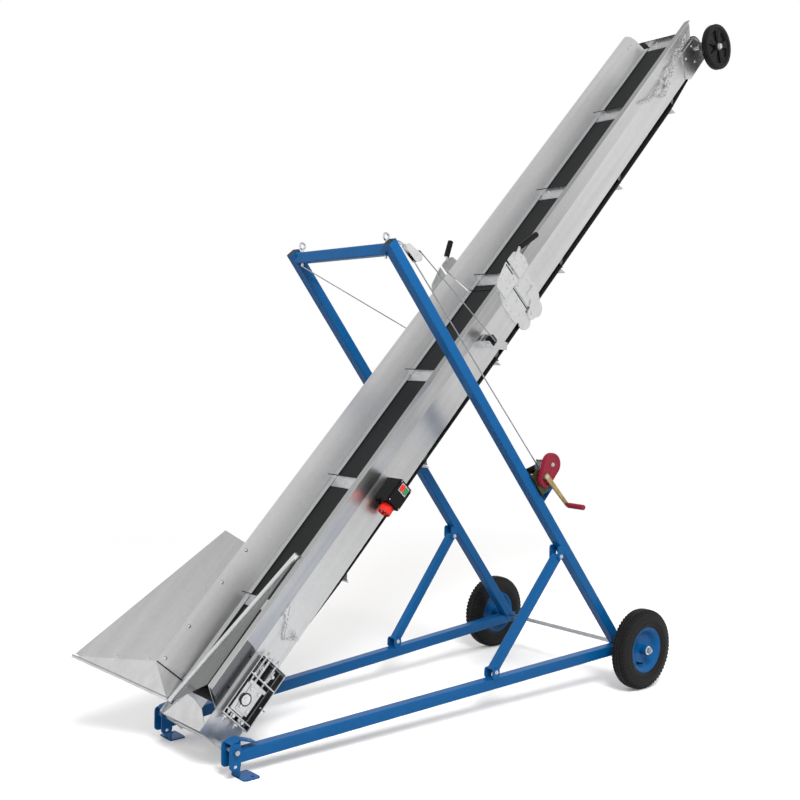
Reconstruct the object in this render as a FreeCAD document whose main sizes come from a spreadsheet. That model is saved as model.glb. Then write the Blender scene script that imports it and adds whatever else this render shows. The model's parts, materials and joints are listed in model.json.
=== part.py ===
"""Firewood conveyor: an inclined, folding trough conveyor on a two-wheeled tubular stand.

Frame: millimetres, +Z up, +X from the feet towards the discharge end, +Y to the left of the
conveying direction. The origin is on the floor in the middle of the machine. The trough has a frame
of its own: s runs up the trough from its foot pivot, y across it, and n square off its deck.
"""
import FreeCAD, Part
import os
import re

import Sketcher

# The driving dimensions, in millimetres and degrees: alias, value, meaning.
SIZES = [
    ("foot_half", "156", "bottom of the side wall from the centre plane"),
    ("axle_x", "769.1", "wheel axle, ahead of the middle of the machine"),
    ("base_length", "2216", "front end of the base beams to the axle"),
    ("tyre_radius", "200", "outside radius of the road tyre"),
    ("tyre_width", "88", "tyre section width"),
    ("tyre_y", "=foot_half + 360", "middle of the tyre from the centre plane"),
    ("rim_radius", "114", "outside radius of the rim flange"),
    ("bead_radius", "102", "bead seat of the rim"),
    ("rim_width", "70", "rim over its flanges"),
    ("hub_radius", "24", "wheel hub"),
    ("hub_length", "84", "wheel hub along the axle"),
    ("axle_radius", "10", "axle rod"),
    ("run_gap", "0.05", "radial running clearance of a wheel or hinge on its pin"),
    ("tube", "50", "square tube of the beams, mast and crossbar"),
    ("tube_wall", "3", "wall of the square tubes"),
    ("brace_tube", "40", "square tube of the braces"),
    ("plate", "6", "welded lugs and foot plates"),
    ("foot_y", "=foot_half + 111", "beam at the foot, from the centre plane"),
    ("beam_rear_y", "=foot_half + 246", "beam at the axle, from the centre plane"),
    ("beam_front_z", "86", "middle of the beam above the floor at the foot"),
    ("beam_rear_z", "190", "middle of the beam above the floor at the axle"),
    ("beam_tail", "34", "beam beyond the axle"),
    ("mast_base_y", "=foot_half + 226", "mast leg at its foot, from the centre plane"),
    ("mast_top_y", "=foot_half + 188", "mast leg at its top, from the centre plane"),
    ("mast_base_back", "30", "mast leg's foot in front of the axle"),
    ("mast_lean", "1569", "mast top in front of the axle"),
    ("mast_height", "2122", "top of the mast above the floor"),
    ("crossbar_drop", "28", "crossbar's middle below the mast top"),
    ("brace_foot_back", "900", "lower brace pin in front of the axle"),
    ("brace_head_share", "0.285", "upper brace pin along the mast leg, as a share of its rise"),
    ("lug_height", "30", "brace pin off the face of the tube that carries its lug"),
    ("pin_radius", "6", "brace pins"),
    ("incline", "46.7", "slope of the trough, in degrees"),
    ("pivot_back", "39", "trough pivot in front of the beam's front end"),
    ("pivot_z", "111", "trough pivot above the floor"),
    ("pivot_radius", "10", "pivot shaft"),
    ("wall_half", "=foot_half + 51", "top of the trough's side wall from the centre plane"),
    ("wall_top_height", "225", "top of the side wall above the pivot"),
    ("deck_step_height", "96", "bottom of the side wall above the pivot"),
    ("skirt_height", "-45", "lower edge of the skirt"),
    ("ear_height", "-77", "lower edge of the skirt about the pivot"),
    ("sheet_gauge", "2.5", "galvanised sheet"),
    ("lip_out", "17", "rolled top edge, outwards"),
    ("lip_down", "12", "rolled top edge, downwards"),
    ("belt_slot", "9", "room for the belt between ledge and deck"),
    ("ledge_half", "=foot_half - 32", "inner edge of the ledge over the belt's edge"),
    ("belt_half", "=foot_half - 10", "half the belt's width"),
    ("belt_gauge", "5", "belt thickness"),
    ("tail_s", "-10", "lower end of the trough"),
    ("wall_end_s", "136", "lower end of the walls, at their top"),
    ("wall_end_height", "229", "top of the walls at their lower end"),
    ("fold_s", "2494", "fold line between the two trough sections"),
    ("fold_gap", "6", "gap between the sections at the fold line"),
    ("return_gap", "16", "gap in the upper return belt beyond the fold line"),
    ("fold_height", "-76", "fold axis, at the fold line, below the pivot line"),
    ("eye_radius", "30", "hinge eyes about the fold axis"),
    ("fold_pin_radius", "9", "fold pin"),
    ("head_s", "4549", "upper end of the trough"),
    ("drum_radius", "56", "tail drum"),
    ("drum_s", "190", "tail drum's axis along the trough"),
    ("roller_radius", "68", "head drum"),
    ("roller_s", "4560", "head drum's axis along the trough"),
    ("sag_low_s", "820", "lower knee of the return belt along the trough"),
    ("sag_low_height", "-61", "return belt's inner face at its lower knee"),
    ("sag_high_s", "4120", "upper knee of the return belt along the trough"),
    ("sag_high_height", "-87", "return belt's inner face at its upper knee"),
    ("sag_height", "-78", "return belt's inner face at the fold line"),
    ("shaft_radius", "12", "drum and roller shafts"),
    ("flight_pitch", "663", "flight to flight along the belt"),
    ("flight_first_s", "576", "lowest flight of the carrying run"),
    ("return_first_s", "859", "lowest flight of the return run"),
    ("flight_rise", "45", "flight's height off the belt"),
    ("flight_foot", "34", "flight's foot along the belt"),
    ("flight_gauge", "4", "flight's thickness"),
    ("flight_half", "=foot_half - 34", "half the flight's width at the belt"),
    ("flight_top_half", "=foot_half - 21", "half the flight's width at its edge"),
    ("head_wheel_radius", "125", "small wheel at the discharge end"),
    ("head_wheel_width", "38", "small wheel's width"),
    ("head_wheel_y", "=foot_half + 87", "middle of the small wheel from the centre plane"),
    ("head_wheel_s", "4612", "small wheel's axis along the trough"),
    ("head_wheel_height", "-30", "small wheel's axis above the pivot line"),
    ("stub_radius", "10", "small wheel's stub axle"),
    ("hopper_top_s", "759", "upper end of the feed hopper's sheets"),
    ("hopper_low_s", "-31", "lower end of the feed hopper's sheets"),
    ("hopper_strip_height", "183", "lower edge of the hopper sheet's strip on the wall, above the pivot"),
    ("hopper_flare", "0.87", "rise of the hopper sheet for each millimetre outwards"),
    ("hopper_wide_y", "=foot_half + 280", "hopper sheet's outer lower corner from the centre plane"),
    ("hopper_narrow_y", "=foot_half + 131", "hopper sheet's outer upper corner from the centre plane"),
    ("guide_top_s", "762", "upper end of the guide plate's rail on the right wall"),
    ("guide_top_height", "238", "that end above the pivot"),
    ("guide_low_s", "40", "lower end of the guide plate's rail at the left corner"),
    ("guide_low_y", "=foot_half - 16", "that end from the centre plane"),
    ("guide_low_height", "92", "that end above the pivot"),
    ("rail_radius", "11", "rolled rail along the guide plate"),
    ("lip_radius", "7", "rolled lip of the hopper's front sheet"),
    ("sheave_s", "2172", "rope sheave along the trough"),
    ("sheave_height", "57", "rope sheave off the pivot line"),
    ("sheave_radius", "26", "rope sheaves"),
    ("rope_radius", "3", "wire rope"),
    ("rope_y", "=foot_half + 48", "rope sheave's middle from the centre plane"),
    ("block_share", "0.9455", "top block along the mast leg, as a share of its rise"),
    ("block_lift", "90", "top block's sheave off the leg's middle line"),
    ("winch_share", "0.434", "winch along the mast leg, as a share of its rise"),
    ("winch_lift", "137", "winch drum's axis off the leg's middle line"),
    ("winch_cheek_y", "37", "winch side plate from the leg's middle plane"),
    ("drum_rope_radius", "24", "winch drum with its rope"),
    ("switch_s", "1275", "switch box along the trough"),
]

# Placements that many pieces share, as expressions over the sheet.
TROUGH = ("placement(vector(axle_x - base_length - pivot_back; 0; pivot_z);"
          " rotation(vector(0; 1; 0); -incline))")
STAND = "placement(vector(0; 0; 0); rotation(vector(0; 0; 1); 0))"

# The flared sheet's outer low corner ends short of the rolled lip, at these shares of its two edges.
LIP_SHARE_OUT = 0.016
LIP_SHARE_DOWN = 0.085

# Bolts of the latch levers along the trough.
LEVER_BOLTS = ("fold_s + 30", "fold_s + 80")

ALIASES = [row[0] for row in SIZES]
ALIAS_WORD = re.compile(r"\b(" + "|".join(ALIASES) + r")\b")

doc = FreeCAD.newDocument("FirewoodConveyor")
sheet = doc.addObject("Spreadsheet::Sheet", "Sizes")
for row_number, (alias, value, meaning) in enumerate(SIZES, start=1):
    sheet.set("A%d" % row_number, meaning)
    sheet.set("B%d" % row_number, value)
    sheet.setAlias("B%d" % row_number, alias)
doc.recompute()

NODES = []


def tie(expression):
    """Writes the sheet's name before each alias of an expression."""
    return ALIAS_WORD.sub(r"Sizes.\1", str(expression))


def number(expression):
    """Value of an expression over the sheet."""
    value = sheet.evalExpression(tie(expression))
    return float(getattr(value, "Value", value))


def at(x, y, z, axis="0; 0; 1", angle="0"):
    """Placement expression from a place and a turn about an axis, in degrees."""
    return "placement(vector(%s; %s; %s); rotation(vector(%s); %s))" % (x, y, z, axis, angle)


def bind(obj, **expressions):
    """Ties properties of an object to expressions over the sheet."""
    for name, expression in expressions.items():
        obj.setExpression(name, tie(expression))
    return obj


def box(frame, low, size):
    """Box with its low corner and its three sizes given as expressions."""
    obj = doc.addObject("Part::Box", "Box")
    return bind(obj, Length=size[0], Width=size[1], Height=size[2],
                Placement="%s * %s" % (frame, at(*low)))


def rod(frame, middle, radius, length, axis="y"):
    """Cylinder along one axis of a frame, about a middle point."""
    turn = {"x": ("0; 1; 0", "90"), "y": ("1; 0; 0", "-90"), "z": ("0; 0; 1", "0")}[axis]
    obj = doc.addObject("Part::Cylinder", "Rod")
    place = "%s * %s * %s" % (frame, at(*middle, *turn), at(0, 0, "-(%s) / 2" % length))
    return bind(obj, Radius=radius, Height=length, Placement=place)


def along(start, end):
    """Placement expression at start, with X towards end."""
    dx, dy, dz = ["((%s) - (%s))" % (e, s) for s, e in zip(start, end)]
    yaw = "atan2(%s; %s)" % (dy, dx)
    pitch = "atan2(%s; hypot(%s; %s))" % (dz, dx, dy)
    return "%s * %s" % (at(*start, "0; 0; 1", yaw), at(0, 0, 0, "0; 1; 0", "-(%s)" % pitch))


def span(start, end):
    """Expression of the distance between two points."""
    dx, dy, dz = ["((%s) - (%s))" % (e, s) for s, e in zip(start, end)]
    return "hypot(%s; %s; %s)" % (dx, dy, dz)


def square_tube(start, end, side, wall):
    """Hollow square tube between two points, open at its ends."""
    frame, length = along(start, end), span(start, end)
    outer = box(frame, (0, "-(%s) / 2" % side, "-(%s) / 2" % side), (length, side, side))
    bore = "(%s) - 2 * (%s)" % (side, wall)
    inner = box(frame, ("-(%s)" % wall, "-(%s) / 2" % bore, "-(%s) / 2" % bore),
                ("%s + 2 * (%s)" % (length, wall), bore, bore))
    return cut(outer, [inner])


def round_bar(frame, start, end, radius):
    """Round bar between two points of a frame."""
    obj = doc.addObject("Part::Cylinder", "Bar")
    place = "%s * %s * %s" % (frame, along(start, end), at(0, 0, 0, "0; 1; 0", "90"))
    return bind(obj, Radius=radius, Height=span(start, end), Placement=place)


def fuse(parts):
    """One object from several that touch or overlap."""
    if len(parts) == 1:
        return parts[0]
    obj = doc.addObject("Part::MultiFuse", "Fuse")
    obj.Shapes = parts
    obj.Refine = True
    return obj


def cut(base, tools):
    """Base less its tools."""
    obj = doc.addObject("Part::Cut", "Cut")
    obj.Base = base
    obj.Tool = fuse(tools)
    return obj


def bound_sketch(body, plane, points):
    """Closed outline in a body on one of its origin planes, each corner tied to its two expressions."""
    sketch = body.newObject("Sketcher::SketchObject", "Outline")
    origin_plane = [o for o in body.Origin.OriginFeatures if o.Role == plane][0]
    sketch.AttachmentSupport = (origin_plane, [""])
    sketch.MapMode = "FlatFace"
    places = [(number(u), number(v)) for u, v in points]
    count = len(points)
    for index in range(count):
        u, v = places[index]
        u_next, v_next = places[(index + 1) % count]
        sketch.addGeometry(Part.LineSegment(FreeCAD.Vector(u, v, 0), FreeCAD.Vector(u_next, v_next, 0)), False)
    for index in range(count):
        sketch.addConstraint(Sketcher.Constraint("Coincident", index, 2, (index + 1) % count, 1))
    for index, (u, v) in enumerate(points):
        for kind, expression, value in (("DistanceX", u, places[index][0]), ("DistanceY", v, places[index][1])):
            row = sketch.addConstraint(Sketcher.Constraint(kind, -1, 1, index, 1, value))
            sketch.setExpression("Constraints[%d]" % row, tie(expression))
    return sketch


def profile(frame, plane, points, length):
    """PartDesign pad of a closed outline, from the frame's origin along the plane's normal.

    The plane is YZ_Plane, padded along +X, or XZ_Plane, padded to both sides of it.
    """
    body = doc.addObject("PartDesign::Body", "Body")
    sketch = bound_sketch(body, plane, points)
    pad = body.newObject("PartDesign::Pad", "Pad")
    pad.Profile = sketch
    pad.setExpression("Length", tie(length))
    if plane == "XZ_Plane":
        pad.SideType = "Symmetric"
    bind(body, Placement=frame)
    return body


def turned(frame, points):
    """PartDesign revolution of a closed outline of (radius, place along Y) about the frame's Y axis."""
    body = doc.addObject("PartDesign::Body", "Turned")
    sketch = bound_sketch(body, "XY_Plane", points)
    spin = body.newObject("PartDesign::Revolution", "Spin")
    spin.Profile = sketch
    spin.ReferenceAxis = (sketch, ["V_Axis"])
    spin.Angle = 360
    bind(body, Placement=frame)
    return body


def side_plate(points, low_y, thick):
    """Plate in a plane of constant y of the trough: its outline in s and n, its low y and its thickness."""
    frame = "%s * %s" % (TROUGH, at(0, "(%s) + (%s) / 2" % (low_y, thick), 0))
    return profile(frame, "XZ_Plane", points, thick)


def node(label, obj):
    """Gives a finished sub-part its own label."""
    obj.Label = label
    NODES.append(obj)
    return obj


def grouped(parts):
    """Like pieces on one body that don't touch, as one object."""
    obj = doc.addObject("Part::Compound", "Group")
    obj.Links = parts
    return obj


SIDES = (("left", 1), ("right", -1))
FOOT_X = "(axle_x - base_length)"
MAST_TOP_X = "(axle_x - mast_lean)"
MAST_BASE_Z = "(beam_rear_z + tube / 2 - 4)"


def mast_point(side, share):
    """Point on a mast leg's middle line, at a share of its rise."""
    return ("axle_x - mast_base_back - (%s) * (mast_lean - mast_base_back)" % share,
            "%d * (mast_base_y - (%s) * (mast_base_y - mast_top_y))" % (side, share),
            "%s + (%s) * (mast_height - %s)" % (MAST_BASE_Z, share, MAST_BASE_Z))


def beam_point(side, back):
    """Point on a beam's middle line, at a distance in front of the axle."""
    share = "((%s) / base_length)" % back
    return ("axle_x - (%s)" % back,
            "%d * (beam_rear_y - %s * (beam_rear_y - foot_y))" % (side, share),
            "beam_rear_z - %s * (beam_rear_z - beam_front_z)" % share)


def lug_pair(point, width, down, up):
    """Two upright plates either side of a brace end, about a pin point."""
    x, y, z = point
    plates = []
    for edge in (1, -1):
        low_y = "(%s) + %d * (brace_tube / 2 + 2.5 + plate / 2) - plate / 2" % (y, edge)
        plates.append(box(STAND, ("(%s) - (%s) / 2" % (x, width), low_y, "(%s) - (%s)" % (z, down)),
                          (width, "plate", "(%s) + (%s)" % (down, up))))
    return plates


def leg_frame(side):
    """Frame at the foot of a mast leg: X up the leg, Z square off its upper face."""
    return along(mast_point(side, "0"), mast_point(side, "1"))


LEG_LENGTH = span(mast_point(1, "0"), mast_point(1, "1"))


def solid_tube(start, end, side, more="0"):
    """Outside of a square tube between two points, without its bore."""
    low = "-(%s) / 2" % side
    return box(along(start, end), ("-(%s)" % more, low, low), ("%s + 2 * (%s)" % (span(start, end), more), side, side))


def make_stand():
    """Base beams, feet, axle, mast, crossbar and braces."""
    crossbar_x = "%s + crossbar_drop * 0.8" % MAST_TOP_X
    crossbar_z = "mast_height - crossbar_drop"
    for name, side in SIDES:
        brace_foot = beam_point(side, "brace_foot_back")
        foot_pin = (brace_foot[0], brace_foot[1], "%s + tube / 2 + lug_height" % brace_foot[2])
        brace_head = mast_point(side, "brace_head_share")
        head_pin = ("(%s) - tube / 2" % brace_head[0], brace_head[1], "(%s) - tube / 2 - lug_height" % brace_head[2])
        pin_length = "brace_tube + 2 * plate + 14"
        beam = square_tube(beam_point(side, "base_length + tube"), beam_point(side, "-beam_tail"), "tube", "tube_wall")
        axle_hole = rod(STAND, ("axle_x", "%d * beam_rear_y" % side, "tyre_radius"), "axle_radius", "2 * tube")
        ahead = box(STAND, ("%s - 220" % FOOT_X, "%d * foot_y - 60" % side, "-20"), ("200", "120", "240"))
        beam_full = fuse([beam] + lug_pair(foot_pin, "44", "lug_height + 4", "14"))
        foot_hole = rod(STAND, foot_pin, "pin_radius", pin_length)
        node("beam_" + name, cut(beam_full, [axle_hole, ahead, foot_hole]))
        under_leg = box(along(beam_point(side, "400"), beam_point(side, "0")),
                        ("0", "-tube * 1.5", "-140 + tube / 2"), ("600", "3 * tube", "140"))
        leg = square_tube(mast_point(side, "-0.03"), mast_point(side, "1"), "tube", "tube_wall")
        leg_full = fuse([leg] + lug_pair(head_pin, "44", "14", "lug_height + 22"))
        head_hole = rod(STAND, head_pin, "pin_radius", pin_length)
        node("mast_leg_" + name, cut(leg_full, [under_leg, head_hole]))
        brace = square_tube(foot_pin, head_pin, "brace_tube", "tube_wall")
        pins = [rod(STAND, pin, "pin_radius", pin_length) for pin in (foot_pin, head_pin)]
        node("brace_" + name, fuse([brace] + pins))
        make_foot(name, side)
    eyes = []
    for name, side in SIDES:
        eye_y = "%d * (mast_top_y - 44)" % side
        stem = rod(STAND, (crossbar_x, eye_y, "%s + 4" % crossbar_z), "6", "tube + 34", "z")
        ring = doc.addObject("Part::Torus", "Ring")
        bind(ring, Radius1="14", Radius2="5",
             Placement=at(crossbar_x, eye_y, "%s + tube / 2 + 30" % crossbar_z, "1; 0; 0", "90"))
        eyes.append(fuse([stem, ring]))
    node("eyebolts", grouped(eyes))
    legs = [solid_tube(mast_point(side, "0"), mast_point(side, "1"), "tube", "60") for name, side in SIDES]
    stems = [rod(STAND, (crossbar_x, "%d * (mast_top_y - 44)" % side, crossbar_z), "6", "2 * tube", "z")
             for name, side in SIDES]
    bar = square_tube((crossbar_x, "-mast_top_y + 5", crossbar_z), (crossbar_x, "mast_top_y - 5", crossbar_z),
                      "tube", "tube_wall")
    node("crossbar", cut(bar, legs + stems))
    hub_inner = "(tyre_y - hub_length / 2 - 3)"
    spacer_inner = "(beam_rear_y + tube / 2 + 4)"
    pieces = [rod(STAND, ("axle_x", 0, "tyre_radius"), "axle_radius", "2 * (tyre_y + hub_length / 2 + 22)")]
    for name, side in SIDES:
        pieces.append(rod(STAND, ("axle_x", "%d * (tyre_y + hub_length / 2 + 10)" % side, "tyre_radius"), "15", "10"))
        pieces.append(rod(STAND, ("axle_x", "%d * (%s + %s) / 2" % (side, hub_inner, spacer_inner), "tyre_radius"),
                          "16", "%s - %s" % (hub_inner, spacer_inner)))
    node("axle", fuse(pieces))
    node("pivot_shaft", rod(STAND, ("%s - pivot_back" % FOOT_X, 0, "pivot_z"), "pivot_radius",
                            "2 * (foot_y + tube / 2 + plate + 16)"))


def make_foot(name, side):
    """Foot bracket: two ears for the pivot shaft beside the beam's end, and a base tab."""
    ears = []
    for edge in (1, -1):
        low_y = "%d * foot_y + %d * (tube / 2 + plate / 2 + 1) - plate / 2" % (side, edge)
        ears.append(box(STAND, ("%s - 90" % FOOT_X, low_y, "30"), ("120", "plate", "135")))
    web = box(STAND, ("%s - 26" % FOOT_X, "%d * foot_y - tube / 2 - 2" % side, "0"), ("plate", "tube + 4", "160"))
    tab_low = "foot_y - tube / 2 - 2" if side > 0 else "-foot_y - tube / 2 - 42"
    base = box(STAND, ("%s - 26" % FOOT_X, tab_low, "0"), ("100", "tube + 44", "plate"))
    shaft_hole = rod(STAND, ("%s - pivot_back" % FOOT_X, "%d * foot_y" % side, "pivot_z"), "pivot_radius", "2 * tube")
    anchor = rod(STAND, ("%s + 48" % FOOT_X, "%d * (foot_y + tube / 2 + 22)" % side, "0"), "7", "4 * plate", "z")
    tube_end = box(STAND, ("%s - 20" % FOOT_X, "%d * foot_y - tube" % side, "plate"), ("60", "2 * tube", "180"))
    near_tube = doc.addObject("Part::MultiCommon", "Common")
    near_tube.Shapes = [solid_tube(beam_point(side, "base_length + 40"), beam_point(side, "0"), "tube", "0"), tube_end]
    node("foot_" + name, cut(fuse(ears + [web, base]), [shaft_hole, anchor, near_tube]))


def make_wheels():
    """Road wheels: a rubber tyre on a pressed steel rim."""
    for name, side in SIDES:
        frame = at("axle_x", "%d * tyre_y" % side, "tyre_radius")
        flange = "(rim_width / 2)"
        tread = [("bead_radius", "-%s + 4" % flange), ("rim_radius + 1", "-%s + 4" % flange),
                 ("rim_radius + 10", "-tyre_width / 2 + 4"), ("tyre_radius - 52", "-tyre_width / 2"),
                 ("tyre_radius - 26", "-tyre_width / 2 + 1"), ("tyre_radius - 10", "-tyre_width / 2 + 8"),
                 ("tyre_radius - 2", "-tyre_width / 2 + 22"), ("tyre_radius", "0")]
        mirrored = [(radius, "-(%s)" % place) for radius, place in reversed(tread[:-1])]
        node("tyre_" + name, turned(frame, tread + mirrored))
        half = [("axle_radius + run_gap", "hub_length / 2"), ("hub_radius", "hub_length / 2"),
                ("hub_radius", "4"), ("bead_radius - 24", "4"), ("bead_radius - 12", "%s - 8" % flange),
                ("rim_radius - 3", flange), ("rim_radius", flange), ("rim_radius", "%s - 4" % flange),
                ("bead_radius", "%s - 4" % flange)]
        mirrored = [(radius, "-(%s)" % place) for radius, place in reversed(half)]
        node("rim_" + name, turned(frame, half + mirrored))


def trough_section(start, end):
    """Trough sheet: flared walls with a rolled edge, ledges, deck and skirts, from start to end along s."""
    deck = "deck_step_height - sheet_gauge - belt_slot"
    half = [("ledge_half", "deck_step_height"), ("foot_half", "deck_step_height"), ("wall_half", "wall_top_height"),
            ("wall_half + lip_out", "wall_top_height - lip_down"),
            ("wall_half + lip_out", "wall_top_height - lip_down - sheet_gauge"),
            ("wall_half + sheet_gauge", "wall_top_height - 2 * sheet_gauge"),
            ("foot_half + sheet_gauge", "deck_step_height"), ("foot_half + sheet_gauge", "skirt_height"),
            ("foot_half", "skirt_height"), ("foot_half", "%s - sheet_gauge" % deck)]
    other = [("-(%s)" % y, n) for y, n in reversed(half)]
    slot = [("ledge_half", "deck_step_height - sheet_gauge"), ("foot_half - sheet_gauge", "deck_step_height - sheet_gauge"),
            ("foot_half - sheet_gauge", deck)]
    slot_other = [("-(%s)" % y, n) for y, n in slot]
    outline = half + other + slot_other + list(reversed(slot))
    frame = "%s * %s" % (TROUGH, at(start, 0, 0))
    return profile(frame, "YZ_Plane", outline, "(%s) - (%s)" % (end, start))


def flight(s, n, up):
    """Angle flight across the belt: a leg square off the belt, wider at its edge, and a foot along the belt."""
    edge_n = "(%s) + %d * flight_rise" % (n, up)
    flare_n = "(%s) + %d * 10" % (n, up)
    leg_points = [("-flight_half", n), ("flight_half", n), ("flight_half", flare_n), ("flight_top_half", edge_n),
                  ("-flight_top_half", edge_n), ("-flight_half", flare_n)]
    leg = profile("%s * %s" % (TROUGH, at(s, 0, 0)), "YZ_Plane", leg_points, "flight_gauge")
    foot_low = n if up > 0 else "(%s) - flight_gauge" % n
    foot = box(TROUGH, ("(%s) - flight_foot" % s, "-flight_half", foot_low),
               ("flight_foot + flight_gauge", "2 * flight_half", "flight_gauge"))
    return fuse([leg, foot])


DECK_N = "(deck_step_height - sheet_gauge - belt_slot)"
BELT_TOP = "(%s + belt_gauge)" % DECK_N
DRUM_N = "(%s - drum_radius)" % DECK_N
ROLLER_N = "(%s - roller_radius)" % DECK_N

# Inner face of the return belt: under the tail drum, at two knees, at the fold line and under the head drum.
RETURN_KNOTS = [("drum_s", "(%s - drum_radius)" % DRUM_N), ("sag_low_s", "sag_low_height"), ("fold_s", "sag_height"),
                ("sag_high_s", "sag_high_height"), ("roller_s", "(%s - roller_radius)" % ROLLER_N)]


def return_low(s):
    """Underside of the return belt at a place along the trough, on straight runs between its knots."""
    place = number(s)
    index = max(index for index, (knot_s, _) in enumerate(RETURN_KNOTS[:-1]) if number(knot_s) <= place)
    (low_s, low_n), (high_s, high_n) = RETURN_KNOTS[index], RETURN_KNOTS[index + 1]
    return "(%s + ((%s) - %s) / (%s - %s) * (%s - %s) - belt_gauge)" % (low_n, s, low_s, high_s, low_s, high_n, low_n)


def make_belt(name, start, end, turn_s, turn_n, turn_radius, flights, returns):
    """One end of the belt loop about its drum or roller, up to the fold line, with its flights."""
    toward = 1 if name == "lower" else -1
    steps = 12
    half_step = 90 / steps
    outer, inner = [], []
    for step in range(steps):
        angle = 90 + half_step + 2 * half_step * step
        for ring, radius in ((outer, "(%s + belt_gauge)" % turn_radius), (inner, turn_radius)):
            reach = "(%s / cos(%s))" % (radius, half_step)
            ring.append(("%s + %d * %s * cos(%s)" % (turn_s, toward, reach, angle),
                         "%s + %s * sin(%s)" % (turn_n, reach, angle)))
    fold = end if name == "lower" else start
    knee_s, knee_n = RETURN_KNOTS[1 if name == "lower" else 3]
    cut_s = fold if name == "lower" else "fold_s + return_gap"
    cut_n = return_low(cut_s)
    lower_run = [(knee_s, "%s - belt_gauge" % knee_n), (cut_s, cut_n), (cut_s, "%s + belt_gauge" % cut_n), (knee_s, knee_n)]
    outline = [(fold, BELT_TOP)] + outer + lower_run + list(reversed(inner)) + [(fold, DECK_N)]
    node("belt_" + name, profile(TROUGH, "XZ_Plane", outline, "2 * belt_half"))
    low_point = "(%s) + flight_gauge" if name == "lower" else "(%s) - flight_foot"
    pieces = [flight(s, BELT_TOP, 1) for s in flights]
    pieces += [flight(s, "%s - 0.4" % return_low(low_point % s), -1) for s in returns]
    node("flights_" + name, grouped(pieces))


def skirt_low(side, out, width):
    """Low Y of a box that stands on a skirt's outer face, off it by out."""
    if side > 0:
        return "foot_half + sheet_gauge + (%s)" % out
    return "-(foot_half + sheet_gauge + (%s) + (%s))" % (out, width)


def wall_end(side):
    """Tool that takes a wall off below its slanting lower end."""
    step = 5
    low_n, high_n = "(deck_step_height + 1)", "(wall_end_height + 11)"
    lean = -36 / 137 if side > 0 else 39 / 121
    line = ["wall_end_s + %s * (%s - wall_end_height)" % (lean, n) for n in (low_n, high_n)]
    outline = [("tail_s - %d" % step, low_n), (line[0], low_n), (line[1], high_n), ("tail_s - %d" % step, high_n)]
    low_y = "5" if side > 0 else "-wall_half - 45"
    return side_plate(outline, low_y, "wall_half + 40")


def make_lower_section():
    """Lower half of the trough with its belt, drum, feed hopper, tensioners, sheaves and switch box."""
    end = "fold_s - fold_gap / 2"
    ear = [("tail_s", "-30"), ("tail_s - 3", "-37"), ("20", "ear_height"), ("97", "ear_height"), ("97", "skirt_height + 5")]
    shell = fuse([trough_section("tail_s", end)]
                 + [side_plate(ear, low_y, "sheet_gauge") for low_y in ("foot_half", "-foot_half - sheet_gauge")])
    rope_n = "(sheave_height - sheave_radius - rope_radius)"
    open_end = "(drum_s - drum_radius - 25)"
    holes = [rod(TROUGH, (0, 0, 0), "pivot_radius + run_gap", "4 * foot_half"),
             rod(TROUGH, ("drum_s", 0, DRUM_N), "shaft_radius", "4 * foot_half"),
             rod(TROUGH, ("sheave_s", 0, rope_n), "8", "4 * foot_half"),
             box(TROUGH, ("tail_s - 1", "-foot_half", "50"), ("%s - tail_s + 1" % open_end, "2 * foot_half", "50")),
             box(TROUGH, ("tail_s - 1", "-foot_half + sheet_gauge", "50"),
                 ("drum_s - tail_s + 42", "2 * (foot_half - sheet_gauge)", "%s + belt_gauge + 2 - 50" % DECK_N)),
             wall_end(1), wall_end(-1)]
    node("trough_lower", cut(shell, holes))
    carrying = ["flight_first_s + %d * flight_pitch" % count for count in range(3)]
    returning = ["return_first_s + %d * flight_pitch" % count for count in range(3)]
    make_belt("lower", "tail_s", end, "drum_s", DRUM_N, "drum_radius", carrying, returning)
    node("tail_drum", fuse([rod(TROUGH, ("drum_s", 0, DRUM_N), "drum_radius", "2 * belt_half"),
                            rod(TROUGH, ("drum_s", 0, DRUM_N), "shaft_radius", "2 * (foot_half + 30)")]))
    make_hopper()
    make_tensioners()
    carriers, sheaves = [], []
    for name, side in SIDES:
        for place in ("-26", "20"):
            carriers.append(box(TROUGH, ("sheave_s + %s" % place, skirt_low(side, "0", "62"), "sheave_height - 20"),
                                ("6", "62", "40")))
        middle = ("sheave_s", "%d * rope_y" % side, "sheave_height")
        carriers.append(rod(TROUGH, middle, "5", "40", "x"))
        arm = [("sheave_s - 26", "sheave_height + 20"), ("sheave_s + 26", "sheave_height + 20"),
               ("sheave_s + 104", "sheave_height - 117"), ("sheave_s + 74", "sheave_height - 139"),
               ("sheave_s - 26", "sheave_height - 20")]
        carriers.append(side_plate(arm, skirt_low(side, "0", "5"), "5"))
        wheel = rod(TROUGH, middle, "sheave_radius", "18", "x")
        sheaves.append(cut(wheel, [rod(TROUGH, middle, "5", "30", "x")]))
    hole = rod(TROUGH, ("sheave_s", 0, rope_n), "8", "4 * foot_half")
    groups = [cut(fuse(carriers[:4]), [hole]), cut(fuse(carriers[4:]), [hole])]
    node("sheave_carriers", grouped(groups))
    node("rope_sheaves", grouped(sheaves))
    node("rope_across", rod(TROUGH, ("sheave_s", 0, rope_n), "rope_radius", "2 * rope_y"))
    node("switch_box", box(TROUGH, ("switch_s - 70", skirt_low(-1, "0", "92"), "-28"), ("120", "92", "86")))
    node("plug_inlet", rod(TROUGH, ("switch_s - 100", "-foot_half - sheet_gauge - 48", "-1"), "26", "60", "x"))
    make_leaves("lower")


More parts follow.
